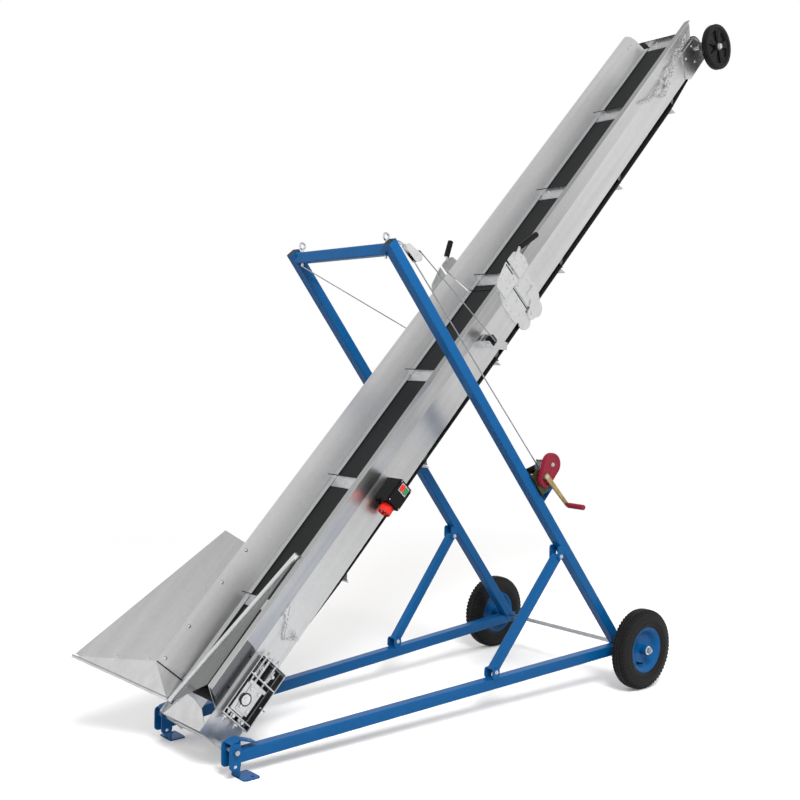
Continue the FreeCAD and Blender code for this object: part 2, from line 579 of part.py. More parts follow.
def make_tensioners():
    """Channel housings on the skirts, each with a sliding block on the tail drum's shaft and its screw."""
    housings = []
    for name, side in SIDES:
        outer = box(TROUGH, ("97", skirt_low(side, "0", "42"), "-67"), ("273", "42", "157"))
        hollow = box(TROUGH, ("101", skirt_low(side, "3", "50"), "-63"), ("265", "50", "149"))
        block = box(TROUGH, ("drum_s - 60", skirt_low(side, "2", "30"), "%s - 38" % DRUM_N), ("120", "30", "76"))
        screw = rod(TROUGH, ("(drum_s + 55 + 380) / 2", "%d * (foot_half + sheet_gauge + 18)" % side, DRUM_N),
                    "7", "325 - drum_s", "x")
        shaft_hole = rod(TROUGH, ("drum_s", 0, DRUM_N), "shaft_radius", "4 * foot_half")
        housings.append(cut(fuse([cut(outer, [hollow]), block, screw]), [shaft_hole]))
    node("tensioners", grouped(housings))


def wall_y(n):
    """Half width between the walls' inner faces at a height above the pivot."""
    return "(foot_half + ((%s) - deck_step_height) * (wall_half - foot_half) / (wall_top_height - deck_step_height))" % n


def between(start, end, share):
    """Place between two places of the trough's frame, at a share of the way."""
    return tuple("((%s) + %s * ((%s) - (%s)))" % (a, share, b, a) for a, b in zip(start, end))


def make_hopper():
    """Feed hopper: flared left sheet, front closing sheet, guide plate across the belt's lower end, end sheet."""
    low, top = "hopper_low_s", "hopper_top_s"
    edge_n = "(wall_top_height + 2)"
    edge_y = wall_y(edge_n)
    narrow_n = "(%s + (hopper_narrow_y - %s) * hopper_flare)" % (edge_n, edge_y)
    wide_n = "(%s + (hopper_wide_y - %s) * hopper_flare)" % (edge_n, edge_y)
    strip_n = "hopper_strip_height"
    strip = flat_sheet([("wall_end_s", wall_y(strip_n), strip_n), ("wall_end_s", edge_y, edge_n), (top, edge_y, edge_n),
                        (top, wall_y(strip_n), strip_n)], (0, -1, 0.4))
    wide = (low, "hopper_wide_y", wide_n)
    narrow = (top, "hopper_narrow_y", narrow_n)
    wall_high = ("wall_end_s", edge_y, edge_n)
    flare = flat_sheet([wall_high, (top, edge_y, edge_n), narrow, between(wide, narrow, LIP_SHARE_OUT),
                        between(wide, wall_high, LIP_SHARE_DOWN)], (0, -1, 0.4))
    node("hopper_side", fuse([strip, flare]))
    corner = ("guide_low_s + 4", "foot_half + sheet_gauge + 0.7", "guide_low_height + 14")
    wall_low = ("wall_end_s + 36", "foot_half + sheet_gauge", "deck_step_height - 4")
    cheek_low = ("guide_low_s + 4", "foot_half + sheet_gauge", "deck_step_height - 4")
    front = flat_sheet([corner, wide, wall_high, wall_low, cheek_low], (0, 1, -0.3))
    lip = round_bar(TROUGH, ("hopper_low_s - 0.5", "hopper_wide_y + 1.9", "%s + 2.2" % wide_n),
                    ("guide_low_s + 4.5", "foot_half + sheet_gauge - 1.2", "guide_low_height + 11.8"), "lip_radius")
    node("hopper_front", fuse([front, lip]))
    rail_top = ("guide_top_s", "-" + wall_y("guide_top_height - 12"), "guide_top_height")
    rail_low = ("guide_low_s", "guide_low_y", "guide_low_height")
    foot = ("wall_end_s", "-" + wall_y("wall_end_height - 4"), "wall_end_height")
    plate = flat_sheet([rail_low, rail_top, foot], (0, 0.2, 1))
    node("guide_plate", fuse([plate, round_bar(TROUGH, rail_low, rail_top, "rail_radius")]))
    edge = [("tail_s + 4", "-foot_half + 1", "76"), ("32", "-foot_half + 16", "95"), ("67", "-foot_half + 56", "109"),
            ("84", "-foot_half + 106", "132"), ("86", "-foot_half + 131", "158"),
            ("guide_low_s - 6", "guide_low_y", "guide_low_height - 18")]
    node("end_sheet", flat_sheet([("tail_s", "foot_half - 1", "79")] + edge, (0, 0, -1)))


def flat_sheet(corners, thick):
    """Sheet through corners of the trough's frame, in flat triangles, thickened along one vector."""
    points = [FreeCAD.Vector(*[number(c) for c in corner]) for corner in corners]
    direction = FreeCAD.Vector(*thick)
    direction.normalize()
    prisms = []
    for index in range(1, len(points) - 1):
        face = Part.Face(Part.makePolygon([points[0], points[index], points[index + 1], points[0]]))
        prisms.append(face.extrude(direction * number("sheet_gauge")))
    solid = prisms[0].fuse(prisms[1:]).removeSplitter() if len(prisms) > 1 else prisms[0]
    obj = doc.addObject("Part::Feature", "Sheet")
    obj.Shape = solid
    obj.Placement = sheet.evalExpression(tie(TROUGH))
    return obj


def leaf_profile(side, start, length):
    """Hinge leaf bent to the outer face of skirt and wall, along part of the trough."""
    wall_share = "((200 - deck_step_height) / (wall_top_height - 2 * sheet_gauge - deck_step_height))"
    top_y = "(foot_half + sheet_gauge + %s * (wall_half - foot_half))" % wall_share
    outline = [("foot_half + sheet_gauge", "skirt_height + 5"), ("foot_half + sheet_gauge", "deck_step_height"), (top_y, "200"),
               ("%s + plate" % top_y, "200"), ("foot_half + sheet_gauge + plate", "deck_step_height - 2"),
               ("foot_half + sheet_gauge + plate", "skirt_height + 5")]
    outline = [("%d * (%s)" % (side, y), n) for y, n in outline]
    return profile("%s * %s" % (TROUGH, at(start, 0, 0)), "YZ_Plane", outline, length)


def make_leaves(name):
    """Hinge leaves at the fold line, with lobed eyes below the skirt about the fold axis."""
    leaves = []
    pin_y = "(foot_half + sheet_gauge + plate + 0.5)"
    lower = name == "lower"
    for side_name, side in SIDES:
        plate_body = leaf_profile(side, "fold_s - 115" if lower else "fold_s + 8", "107" if lower else "110")
        ear_low = skirt_low(side, "0" if lower else "plate + 1", "plate")
        middle_y = "%d * (%s %s (0.5 + plate / 2))" % (side, pin_y, "-" if lower else "+")
        eye = rod(TROUGH, ("fold_s", middle_y, "fold_height"), "eye_radius", "plate")
        if lower:
            ear = [("fold_s - 108", "skirt_height + 20"), ("fold_s - 38", "skirt_height + 20"), ("fold_s - 38", "fold_height + 20"),
                   ("fold_s", "fold_height + 20"), ("fold_s", "fold_height - 20"), ("fold_s - 60", "fold_height - 30")]
            lobe = rod(TROUGH, ("fold_s - 60", middle_y, "fold_height + 6"), "44", "plate")
            pin = rod(TROUGH, ("fold_s", "%d * %s" % (side, pin_y), "fold_height"), "fold_pin_radius", "2 * plate + 12")
            leaves.append(fuse([plate_body, side_plate(ear, ear_low, "plate"), eye, lobe, pin]))
        else:
            ear = [("fold_s + 38", "skirt_height + 20"), ("fold_s + 112", "skirt_height + 20"), ("fold_s + 84", "fold_height"),
                   ("fold_s + 39", "fold_height - 40"), ("fold_s", "fold_height - 20"), ("fold_s", "fold_height + 20")]
            lobe = rod(TROUGH, ("fold_s + 39", middle_y, "fold_height - 3"), "45", "plate")
            block = box(TROUGH, ("fold_s + 45", skirt_low(side, "0", "2 * plate + 1"), "skirt_height + 2"),
                        ("60", "2 * plate + 1", "60"))
            hole = rod(TROUGH, ("fold_s", "%d * %s" % (side, pin_y), "fold_height"), "fold_pin_radius + run_gap", "4 * plate")
            bolt_holes = [rod(TROUGH, (s, "%d * (foot_half + 60)" % side, "190"), "8", "60") for s in LEVER_BOLTS]
            leaves.append(cut(fuse([plate_body, block, side_plate(ear, ear_low, "plate"), eye, lobe]), [hole] + bolt_holes))
    if lower:
        for side_name, side in SIDES:
            top = [("fold_s - 133", "150"), ("fold_s - 133", "wall_top_height"), ("fold_s - 106", "wall_top_height + 21"),
                   ("fold_s - 6", "wall_top_height + 43"), ("fold_s - 6", "150")]
            leaves[0 if side > 0 else 1] = fuse([leaves[0 if side > 0 else 1]] + latch_plate(side, top, ("fold_s - 90", "fold_s - 30")))
    node("hinge_leaves_" + name, grouped(leaves))


def latch_plate(side, outline, bolts):
    """Plate that stands off a wall beyond its lip, and the two bolts that carry it on the hinge leaf."""
    low_y = "wall_half + lip_out + 2" if side > 0 else "-(wall_half + lip_out + 2 + plate)"
    bolt_in, bolt_out = "(foot_half + 45)", "(wall_half + lip_out + 2 + plate)"
    middle_y = "%d * (%s + %s) / 2" % (side, bolt_in, bolt_out)
    length = "%s - %s" % (bolt_out, bolt_in)
    return [side_plate(outline, low_y, "plate")] + [rod(TROUGH, (s, middle_y, "190"), "8", length) for s in bolts]


def make_upper_section():
    """Upper half of the trough with its belt, head drum, latches and small wheels."""
    start = "fold_s + fold_gap / 2"
    corner = [("head_s - 56", "wall_top_height + 5"), ("head_s - 56", "wall_top_height"), ("head_s - 28", "wall_top_height - 8"),
              ("head_s - 8", "wall_top_height - 28"), ("head_s", "wall_top_height - 56"), ("head_s + 5", "wall_top_height - 56"),
              ("head_s + 5", "wall_top_height + 5")]
    corners = profile(TROUGH, "XZ_Plane", corner, "3 * wall_half")
    drum_room = rod(TROUGH, ("roller_s", 0, ROLLER_N), "roller_radius + 1", "2 * foot_half")
    shaft_room = rod(TROUGH, ("roller_s", 0, ROLLER_N), "shaft_radius + run_gap", "4 * foot_half")
    node("trough_upper", cut(trough_section(start, "head_s"), [corners, drum_room, shaft_room]))
    carrying = ["flight_first_s + %d * flight_pitch" % count for count in range(3, 7)]
    returning = ["return_first_s + %d * flight_pitch" % count for count in range(3, 6)]
    make_belt("upper", start, "head_s", "roller_s", ROLLER_N, "roller_radius", carrying, returning)
    node("head_drum", fuse([rod(TROUGH, ("roller_s", 0, ROLLER_N), "roller_radius", "2 * belt_half"),
                            rod(TROUGH, ("roller_s", 0, ROLLER_N), "shaft_radius", "2 * (foot_half + 26)")]))
    arms, levers = [], []
    for name, side in SIDES:
        outline = [("head_s - 200", "-40"), ("head_s - 130", "80"), ("head_s + 11", "80"), ("head_wheel_s + 20", "0"),
                   ("head_wheel_s + 26", "head_wheel_height - 26"), ("head_wheel_s - 30", "head_wheel_height - 36"),
                   ("head_s - 160", "-70")]
        arm = side_plate(outline, skirt_low(side, "0", "plate"), "plate")
        plate_out = "(foot_half + sheet_gauge + plate)"
        wheel_in = "(head_wheel_y - head_wheel_width / 2 - 1)"
        nut_out = "(head_wheel_y + head_wheel_width / 2 + 10)"
        stub = [rod(TROUGH, ("head_wheel_s", "%d * (%s + %s - 3) / 2" % (side, plate_out, nut_out), "head_wheel_height"),
                    "stub_radius", "%s - %s + 3" % (nut_out, plate_out)),
                rod(TROUGH, ("head_wheel_s", "%d * (%s + %s) / 2" % (side, plate_out, wheel_in), "head_wheel_height"),
                    "16", "%s - %s" % (wheel_in, plate_out)),
                rod(TROUGH, ("head_wheel_s", "%d * (%s - 4)" % (side, nut_out), "head_wheel_height"), "15", "8")]
        arms.append(cut(fuse([arm] + stub), [rod(TROUGH, ("roller_s", 0, ROLLER_N), "shaft_radius", "4 * foot_half")]))
        top = [("fold_s + 8", "150"), ("fold_s + 8", "wall_top_height + 45"), ("fold_s + 67", "wall_top_height + 43"),
               ("fold_s + 95", "wall_top_height + 19"), ("fold_s + 106", "wall_top_height - 25"), ("fold_s + 96", "150")]
        grip_y = "%d * (wall_half + lip_out + 2 + plate / 2)" % side
        ends = (("fold_s + 40", grip_y, "wall_top_height + 15"), ("fold_s + 66", grip_y, "wall_top_height + 50"),
                ("fold_s + 140", grip_y, "wall_top_height + 84"))
        levers.append(fuse(latch_plate(side, top, LEVER_BOLTS)
                           + [round_bar(TROUGH, ends[0], ends[1], "8"), round_bar(TROUGH, ends[1], ends[2], "13")]))
    node("head_plates", grouped(arms))
    make_leaves("upper")
    node("latch_levers", grouped(levers))
    for name, side in SIDES:
        frame = "%s * %s" % (TROUGH, at("head_wheel_s", "%d * head_wheel_y" % side, "head_wheel_height"))
        half = [("stub_radius + run_gap", "head_wheel_width / 2"), ("22", "head_wheel_width / 2"), ("24", "7"), ("86", "7"),
                ("90", "head_wheel_width / 2 - 2"), ("head_wheel_radius - 7", "head_wheel_width / 2"),
                ("head_wheel_radius", "head_wheel_width / 2 - 7")]
        mirrored = [(radius, "-(%s)" % place) for radius, place in reversed(half)]
        node("head_wheel_" + name, turned(frame, half + mirrored))


def on_leg(side, share, across, lift):
    """World point beside a mast leg: share of its rise, across it outwards, and off its upper face."""
    frame = sheet.evalExpression(tie(leg_frame(side)))
    local = FreeCAD.Vector(number("%s * (%s)" % (LEG_LENGTH, share)), -side * number(across), number(lift))
    return frame.multVec(local)


def make_winch():
    """Hand winch on the right mast leg, the top block and the rope runs."""
    leg = leg_frame(-1)
    place = "%s * (winch_share)" % LEG_LENGTH
    cheek = "winch_cheek_y"
    foot = box(leg, ("%s - 62" % place, "-(%s)" % cheek, "tube / 2"), ("124", "2 * %s" % cheek, "5"))
    cheeks = [box(leg, ("%s - 50" % place, low, "tube / 2"), ("100", "5", "winch_lift - tube / 2 + 30"))
              for low in ("-(%s)" % cheek, "%s - 5" % cheek)]
    frame_body = fuse([foot] + cheeks)
    shaft_low = (place, "0", "winch_lift")
    drum = fuse([rod(leg, shaft_low, "drum_rope_radius", "2 * %s - 14" % cheek),
                 rod(leg, shaft_low, "8", "2 * %s + 6" % cheek)])
    shaft_hole = rod(leg, shaft_low, "8", "4 * %s" % cheek)
    node("winch_frame", cut(frame_body, [shaft_hole]))
    node("winch_drum", drum)
    crank_lift = "(winch_lift - 41)"
    cover = fuse([rod(leg, (place, "%s + 12" % cheek, "winch_lift"), "48", "24"),
                  rod(leg, (place, "%s + 12" % cheek, crank_lift), "38", "24")])
    node("winch_cover", cut(cover, [shaft_hole]))
    crank_out = "(%s + 24)" % cheek
    shaft = rod(leg, (place, "%s + 8" % crank_out, crank_lift), "8", "16")
    arm = box(leg, ("%s - 176" % place, "%s + 12" % crank_out, "%s - 10" % crank_lift), ("186", "8", "20"))
    grip = rod(leg, ("%s - 168" % place, "%s + 68" % crank_out, crank_lift), "13", "96")
    node("winch_crank", fuse([shaft, arm, grip]))
    block_at = "%s * (block_share)" % LEG_LENGTH
    cheeks = [box(leg, ("%s - 20" % block_at, low, "tube / 2"), ("40", "4", "block_lift")) for low in ("-14", "10")]
    node("top_block", fuse(cheeks + [rod(leg, (block_at, "0", "block_lift"), "24", "20"),
                                     rod(leg, (block_at, "0", "block_lift"), "6", "36")]))
    place_of_trough = sheet.evalExpression(tie(TROUGH))
    tangent = number("rope_y + sheave_radius + rope_radius")
    hooks = [place_of_trough.multVec(FreeCAD.Vector(number("sheave_s"), side * (tangent + 1), number("sheave_height")))
             for name, side in SIDES]
    eye_end = FreeCAD.Vector(number("%s + crossbar_drop * 0.8" % MAST_TOP_X), number("mast_top_y - 44"),
                             number("mast_height - crossbar_drop - 41"))
    node("stay_left", round_bar(STAND, tuple(eye_end), tuple(hooks[0]), "rope_radius"))
    block_middle = on_leg(-1, "block_share", "0", "block_lift")
    drum_middle = on_leg(-1, "winch_share", "0", "winch_lift")
    over = number("24 + rope_radius")
    upper = block_middle + beside(hooks[1] - block_middle, over)
    node("stay_right", round_bar(STAND, tuple(upper), tuple(hooks[1]), "rope_radius"))
    lower = block_middle + beside(drum_middle - block_middle, -over)
    off_drum = drum_middle + beside(drum_middle - block_middle, -number("drum_rope_radius + rope_radius"))
    node("winch_rope", round_bar(STAND, tuple(lower), tuple(off_drum), "rope_radius"))


def beside(direction, distance):
    """Step square off a direction in the XZ plane, on its upper side."""
    square = FreeCAD.Vector(-direction.z, 0, direction.x)
    square.normalize()
    return square * distance


def export_nodes():
    """Checks every object and writes each sub-part to its own file."""
    doc.recompute()
    for obj in doc.Objects:
        if "Invalid" in obj.State or "Error" in obj.State:
            raise SystemExit("failed object: %s %s %s" % (obj.Name, obj.Label, obj.State))
    os.makedirs("parts", exist_ok=True)
    for obj in NODES:
        shape = obj.Shape
        if shape.isNull() or not shape.isValid():
            raise SystemExit("bad shape: " + obj.Label)
    for obj in NODES:
        obj.Shape.exportStep("parts/%s.step" % obj.Label)
        print("%-22s solids %2d volume %12.0f" % (obj.Label, len(obj.Shape.Solids), obj.Shape.Volume))


make_stand()
make_wheels()
make_winch()
make_lower_section()
make_upper_section()
export_nodes()
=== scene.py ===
"""Firewood conveyor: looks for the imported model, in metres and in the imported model's own frame.

The trough has a frame of its own: s runs up the trough from its foot pivot, y across it, and n square
off its deck. TroughFrame turns such places into the row frame.
"""
from __future__ import annotations

import json
import logging
import math
from dataclasses import dataclass, field
from enum import Enum
from typing import Callable, Sequence

import bmesh
import bpy
import numpy as np
from mathutils import Matrix, Vector

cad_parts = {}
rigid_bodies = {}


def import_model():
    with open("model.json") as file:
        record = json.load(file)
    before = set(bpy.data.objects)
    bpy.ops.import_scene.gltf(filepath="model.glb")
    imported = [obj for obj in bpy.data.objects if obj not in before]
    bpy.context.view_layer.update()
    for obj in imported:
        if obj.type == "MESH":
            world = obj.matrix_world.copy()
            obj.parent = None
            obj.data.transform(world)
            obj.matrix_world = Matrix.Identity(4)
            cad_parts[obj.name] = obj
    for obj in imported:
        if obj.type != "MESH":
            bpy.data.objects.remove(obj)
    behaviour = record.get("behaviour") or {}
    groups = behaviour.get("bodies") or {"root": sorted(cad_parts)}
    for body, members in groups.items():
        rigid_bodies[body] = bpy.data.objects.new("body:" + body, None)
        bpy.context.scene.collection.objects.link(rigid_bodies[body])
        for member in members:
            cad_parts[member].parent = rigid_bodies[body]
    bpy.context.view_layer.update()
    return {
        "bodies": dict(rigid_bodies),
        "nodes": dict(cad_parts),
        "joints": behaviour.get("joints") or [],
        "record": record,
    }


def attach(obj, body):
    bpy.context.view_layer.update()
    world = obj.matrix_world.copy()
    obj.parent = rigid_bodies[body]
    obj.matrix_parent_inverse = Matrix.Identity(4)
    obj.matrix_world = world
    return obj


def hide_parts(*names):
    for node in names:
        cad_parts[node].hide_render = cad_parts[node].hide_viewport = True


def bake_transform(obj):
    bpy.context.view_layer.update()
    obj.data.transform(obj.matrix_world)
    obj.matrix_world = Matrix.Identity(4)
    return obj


LOG = logging.getLogger("conveyor")
Points = np.ndarray
Profile = Sequence[tuple[float, float]]
MM = 0.001


class Body(Enum):
    """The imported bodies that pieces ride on."""

    STAND = "stand"
    LOWER = "lower_section"
    UPPER = "upper_section"
    WHEEL_LEFT = "wheel_left"
    WHEEL_RIGHT = "wheel_right"
    HEAD_WHEEL_LEFT = "head_wheel_left"
    HEAD_WHEEL_RIGHT = "head_wheel_right"


class Side(Enum):
    """Left is +Y, right is -Y."""

    LEFT = 1
    RIGHT = -1

    @property
    def word(self) -> str:
        """Name used in node names."""
        return self.name.lower()

    @property
    def out(self) -> Points:
        """Direction away from the machine's middle plane."""
        return np.array([0.0, float(self.value), 0.0])


@dataclass(frozen=True)
class PhotoCamera:
    """Camera that took the reference view, solved from the machine's own edges."""

    axle_x: float = 0.7691
    place: tuple[float, float, float] = (-4.5074, -3.8208, 1.6246)
    yaw: float = 49.0604
    pitch: float = -2.0196
    roll: float = 1.0706
    focal_pixels: float = 1088.77
    image_pixels: float = 800.0

    def build(self) -> bpy.types.Object:
        """Makes the camera.

        Returns:
            The camera object, set as the scene's camera.
        """
        yaw, pitch, roll = (math.radians(v) for v in (self.yaw, self.pitch, self.roll))
        forward = Vector((math.cos(yaw) * math.cos(pitch), math.sin(yaw) * math.cos(pitch), math.sin(pitch)))
        right = Vector((math.sin(yaw), -math.cos(yaw), 0.0))
        up = right.cross(forward)
        right_rolled = right * math.cos(roll) + up * math.sin(roll)
        up_rolled = up * math.cos(roll) - right * math.sin(roll)
        data = bpy.data.cameras.new("photo_camera")
        data.sensor_width = 36.0
        data.lens = 36.0 * self.focal_pixels / self.image_pixels
        data.clip_end = 100.0
        camera = bpy.data.objects.new("photo_camera", data)
        bpy.context.scene.collection.objects.link(camera)
        basis = Matrix((right_rolled, up_rolled, -forward)).transposed().to_4x4()
        x, y, z = self.place
        camera.matrix_world = Matrix.Translation((x + self.axle_x, y, z)) @ basis
        bpy.context.scene.camera = camera
        return camera


def at(x: Points, y: Points, z: Points) -> Points:
    """Points in metres from x, y and z in millimetres."""
    return np.stack(np.broadcast_arrays(x, y, z), axis=-1) * MM


@dataclass(frozen=True)
class TroughFrame:
    """The trough's own frame: s up the trough, y across it, n square off its deck."""

    pivot_x: float = 0.7691 - 2.216 - 0.039
    pivot_z: float = 0.111
    incline: float = math.radians(46.7)

    def place(self, s: Points, y: Points, n: Points) -> Points:
        """Points of the trough's frame as points of the row frame.

        The place is the pivot plus s along the slope plus n square off it.

        Args:
            s: Distance up the trough, in millimetres.
            y: Distance across it, in millimetres.
            n: Height off the pivot line, in millimetres.

        Returns:
            An array whose last axis is x, y, z in metres.
        """
        cos, sin = math.cos(self.incline), math.sin(self.incline)
        return at(s * cos - n * sin, y, s * sin + n * cos) + (self.pivot_x, 0.0, self.pivot_z)


TROUGH = TroughFrame()


@dataclass(frozen=True)
class Finish:
    """A material with the record's slot that it stands for."""

    material: bpy.types.Material
    slot: str


@dataclass
class Mesher:
    """Collects vertices and faces of one piece, and makes the object at the end."""

    name: str
    vertices: list[Points] = field(default_factory=list)
    faces: list[Points] = field(default_factory=list)
    count: int = 0

    def add(self, points: Points, faces: Points) -> None:
        """Adds points with faces that index them.

        Args:
            points: Array of shape (count, 3).
            faces: Integer array of shape (faces, corners).
        """
        self.vertices.append(np.asarray(points, float).reshape(-1, 3))
        self.faces.append(np.asarray(faces, int) + self.count)
        self.count += len(self.vertices[-1])

    def grid(self, points: Points, close_u: bool = False, close_v: bool = False) -> None:
        """Adds a surface given by a grid of points.

        Args:
            points: Array of shape (u, v, 3).
            close_u: Joins the last row to the first.
            close_v: Joins the last column to the first.
        """
        rows, columns = points.shape[:2]
        row = np.arange(rows if close_u else rows - 1)
        column = np.arange(columns if close_v else columns - 1)
        a, b = np.meshgrid(row, column, indexing="ij")
        a, b = a.ravel(), b.ravel()
        a_next, b_next = (a + 1) % rows, (b + 1) % columns
        here, ahead = a * columns, a_next * columns
        quads = np.stack((here + b, ahead + b, ahead + b_next, here + b_next), 1)
        self.add(points.reshape(-1, 3), quads)

    def prism(self, low: Points, high: Points) -> None:
        """Adds a closed prism between two matching outlines.

        Args:
            low: Outline of shape (corners, 3).
            high: The same outline at the other end.
        """
        corners = len(low)
        self.grid(np.stack((low, high)), close_v=True)
        start = self.count
        self.vertices.append(np.vstack((low, high)))
        self.count += 2 * corners
        self.faces.append(np.arange(corners)[None, ::-1] + start)
        self.faces.append(np.arange(corners)[None, :] + start + corners)

    def plate(self, place: Callable[[Points, float, Points], Points], outline: Points, low: float,
              high: float) -> None:
        """Adds a plate from an outline, between two depths.

        Args:
            place: Turns the outline's first axis, a depth and its second axis into points in metres.
            outline: Outline of shape (corners, 2), in millimetres.
            low: Depth of the first face, in millimetres.
            high: Depth of the other face.
        """
        outline = np.asarray(outline, float)
        self.prism(*(place(outline[:, 0], depth, outline[:, 1]) for depth in (low, high)))

    def build(self, finish: Finish, body: Body | None, smooth: bool = False,
              instead: str = "") -> bpy.types.Object:
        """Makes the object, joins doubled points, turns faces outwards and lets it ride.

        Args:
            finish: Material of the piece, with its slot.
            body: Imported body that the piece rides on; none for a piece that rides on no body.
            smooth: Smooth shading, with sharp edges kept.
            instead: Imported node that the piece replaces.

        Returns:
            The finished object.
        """
        mesh = bpy.data.meshes.new(self.name)
        points = np.vstack(self.vertices)
        faces = [tuple(face) for block in self.faces for face in block.tolist()]
        mesh.from_pydata(points.tolist(), [], faces)
        mesh.validate()
        obj = bpy.data.objects.new(self.name, mesh)
        bpy.context.scene.collection.objects.link(obj)
        tidy_mesh(mesh)
        mesh.materials.append(finish.material)
        if smooth:
            mesh.shade_smooth()
            mesh.set_sharp_from_angle(angle=math.radians(40.0))
        if body:
            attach(obj, body.value)
        if instead:
            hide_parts(instead)
        return obj


def tidy_mesh(mesh: bpy.types.Mesh) -> None:
    """Joins doubled points and turns the faces outwards.

    Args:
        mesh: Mesh to tidy in place.
    """
    work = bmesh.new()
    work.from_mesh(mesh)
    bmesh.ops.remove_doubles(work, verts=work.verts, dist=0.00002)
    bmesh.ops.recalc_face_normals(work, faces=work.faces)
    work.to_mesh(mesh)
    work.free()


def ring(middle: Points, axis: Points, radius: Points, sides: int) -> Points:
    """Rings of points about an axis through given middles.

    Each point is the middle plus radius times a unit vector that turns once round the axis.

    Args:
        middle: Middles of shape (rings, 3).
        axis: Unit axis of shape (3,).
        radius: Radius of each ring.
        sides: Points on each ring.

    Returns:
        Array of shape (rings, sides, 3).
    """
    axis = np.asarray(axis, float)
    axis = axis / np.linalg.norm(axis)
    helper = np.array([0.0, 0.0, 1.0]) if abs(axis[2]) < 0.9 else np.array([1.0, 0.0, 0.0])
    across = np.cross(axis, helper)
    across /= np.linalg.norm(across)
    other = np.cross(axis, across)
    turn = np.linspace(0.0, 2.0 * math.pi, sides, endpoint=False)
    circle = np.cos(turn)[:, None] * across + np.sin(turn)[:, None] * other
    middle, radius = np.asarray(middle, float), np.asarray(radius, float)
    return middle[:, None, :] + radius[:, None, None] * circle[None, :, :]


def turned(mesher: Mesher, middle: Points, axis: Points, profile: Profile, sides: int = 32,
           closed: bool = False) -> None:
    """Adds a surface of revolution.

    The profile's (place along the axis, radius) pairs are carried once round the axis.

    Args:
        mesher: Piece to add to.
        middle: Point on the axis where the profile's place is zero, in metres.
        axis: Direction of the axis.
        profile: Pairs of place and radius, in millimetres.
        sides: Points round the axis.
        closed: Joins the profile's end to its start.
    """
    axis = np.asarray(axis, float)
    axis = axis / np.linalg.norm(axis)
    places, radii = MM * np.array(profile).T
    middles = np.asarray(middle, float) + places[:, None] * axis
    radii = np.maximum(radii, 1e-6)
    mesher.grid(ring(middles, axis, radii, sides), close_u=closed, close_v=True)


def tube(mesher: Mesher, path: Points, radius: float, sides: int = 10, closed: bool = False) -> None:
    """Adds a round tube along a path, with closed ends.

    Each ring stands square off the path's direction, turned as little as can be from the last.

    Args:
        mesher: Piece to add to.
        path: Points of shape (count, 3), in metres.
        radius: Tube radius in metres.
        sides: Points round the tube.
        closed: Joins the path's end to its start.
    """
    path = np.asarray(path, float)
    if closed:
        ahead = np.roll(path, -1, axis=0) - np.roll(path, 1, axis=0)
    else:
        ahead = np.gradient(path, axis=0)
    ahead /= np.linalg.norm(ahead, axis=1)[:, None]
    plane = np.linalg.svd(path - path.mean(0))[2][2]
    across = np.cross(ahead, plane)
    weak = np.linalg.norm(across, axis=1) < 0.2
    across[weak] = np.cross(ahead[weak], [0.0, 0.0, 1.0])
    across /= np.linalg.norm(across, axis=1)[:, None]
    other = np.cross(ahead, across)
    turn = np.linspace(0.0, 2.0 * math.pi, sides, endpoint=False)
    rings = (path[:, None, :] + radius * (np.cos(turn)[None, :, None] * across[:, None, :]
                                          + np.sin(turn)[None, :, None] * other[:, None, :]))
    if not closed:
        ends = np.stack((np.repeat(path[:1], sides, 0), np.repeat(path[-1:], sides, 0)))
        rings = np.concatenate((ends[:1], rings, ends[1:]))
    mesher.grid(rings, close_u=closed, close_v=True)


def arc(radius: float, start: float, end: float, steps: int) -> Points:
    """Points (radius cos, radius sin) from start to end, in degrees."""
    turn = np.radians(np.linspace(start, end, steps))
    return np.stack((radius * np.cos(turn), radius * np.sin(turn)), axis=-1)


class Group:
    """Builds one shader node group with named inputs and outputs."""

    def __init__(self, name: str, inputs: Sequence[tuple[str, str, object]],
                 outputs: Sequence[tuple[str, str]]) -> None:
        """Makes the empty group.

        Args:
            name: Name of the group.
            inputs: Name, socket type and starting value of each input.
            outputs: Name and socket type of each output.
        """
        self.tree = bpy.data.node_groups.new(name, "ShaderNodeTree")
        for label, kind, value in inputs:
            socket = self.tree.interface.new_socket(label, in_out="INPUT", socket_type=kind)
            if value is not None:
                socket.default_value = value
        for label, kind in outputs:
            self.tree.interface.new_socket(label, in_out="OUTPUT", socket_type=kind)
        self.source = self.tree.nodes.new("NodeGroupInput")
        self.sink = self.tree.nodes.new("NodeGroupOutput")

    def node(self, kind: str, links: dict[object, object] | None = None,
             **settings: object) -> bpy.types.Node:
        """Adds a node, sets it up and links its inputs."""
        return add_node(self.tree, kind, links, **settings)

    def finished(self, **results: bpy.types.NodeSocket) -> bpy.types.NodeTree:
        """Links the group's outputs and gives its tree."""
        for name, socket in results.items():
            self.tree.links.new(socket, self.sink.inputs[name])
        return self.tree


def add_node(tree: bpy.types.NodeTree, kind: str, links: dict[object, object] | None = None,
             **settings: object) -> bpy.types.Node:
    """Adds a node to a tree.

    Args:
        tree: Tree to add to.
        kind: Blender's node type, without the ShaderNode that each begins with.
        links: For each input, a socket to link from or a value to set.
        settings: Attributes of the node.

    Returns:
        The new node.
    """
    made = tree.nodes.new("ShaderNode" + kind)
    for name, value in settings.items():
        setattr(made, name, value)
    fill(tree, made, links or {})
    return made


def fill(tree: bpy.types.NodeTree, node: bpy.types.Node, links: dict[object, object]) -> None:
    """Links or sets the inputs of a node.

    Args:
        tree: Tree of the node.
        node: Node whose inputs are filled.
        links: For each input, a socket to link from or a value to set.
    """
    for key, value in links.items():
        if isinstance(value, bpy.types.NodeSocket):
            tree.links.new(value, node.inputs[key])
        else:
            node.inputs[key].default_value = value


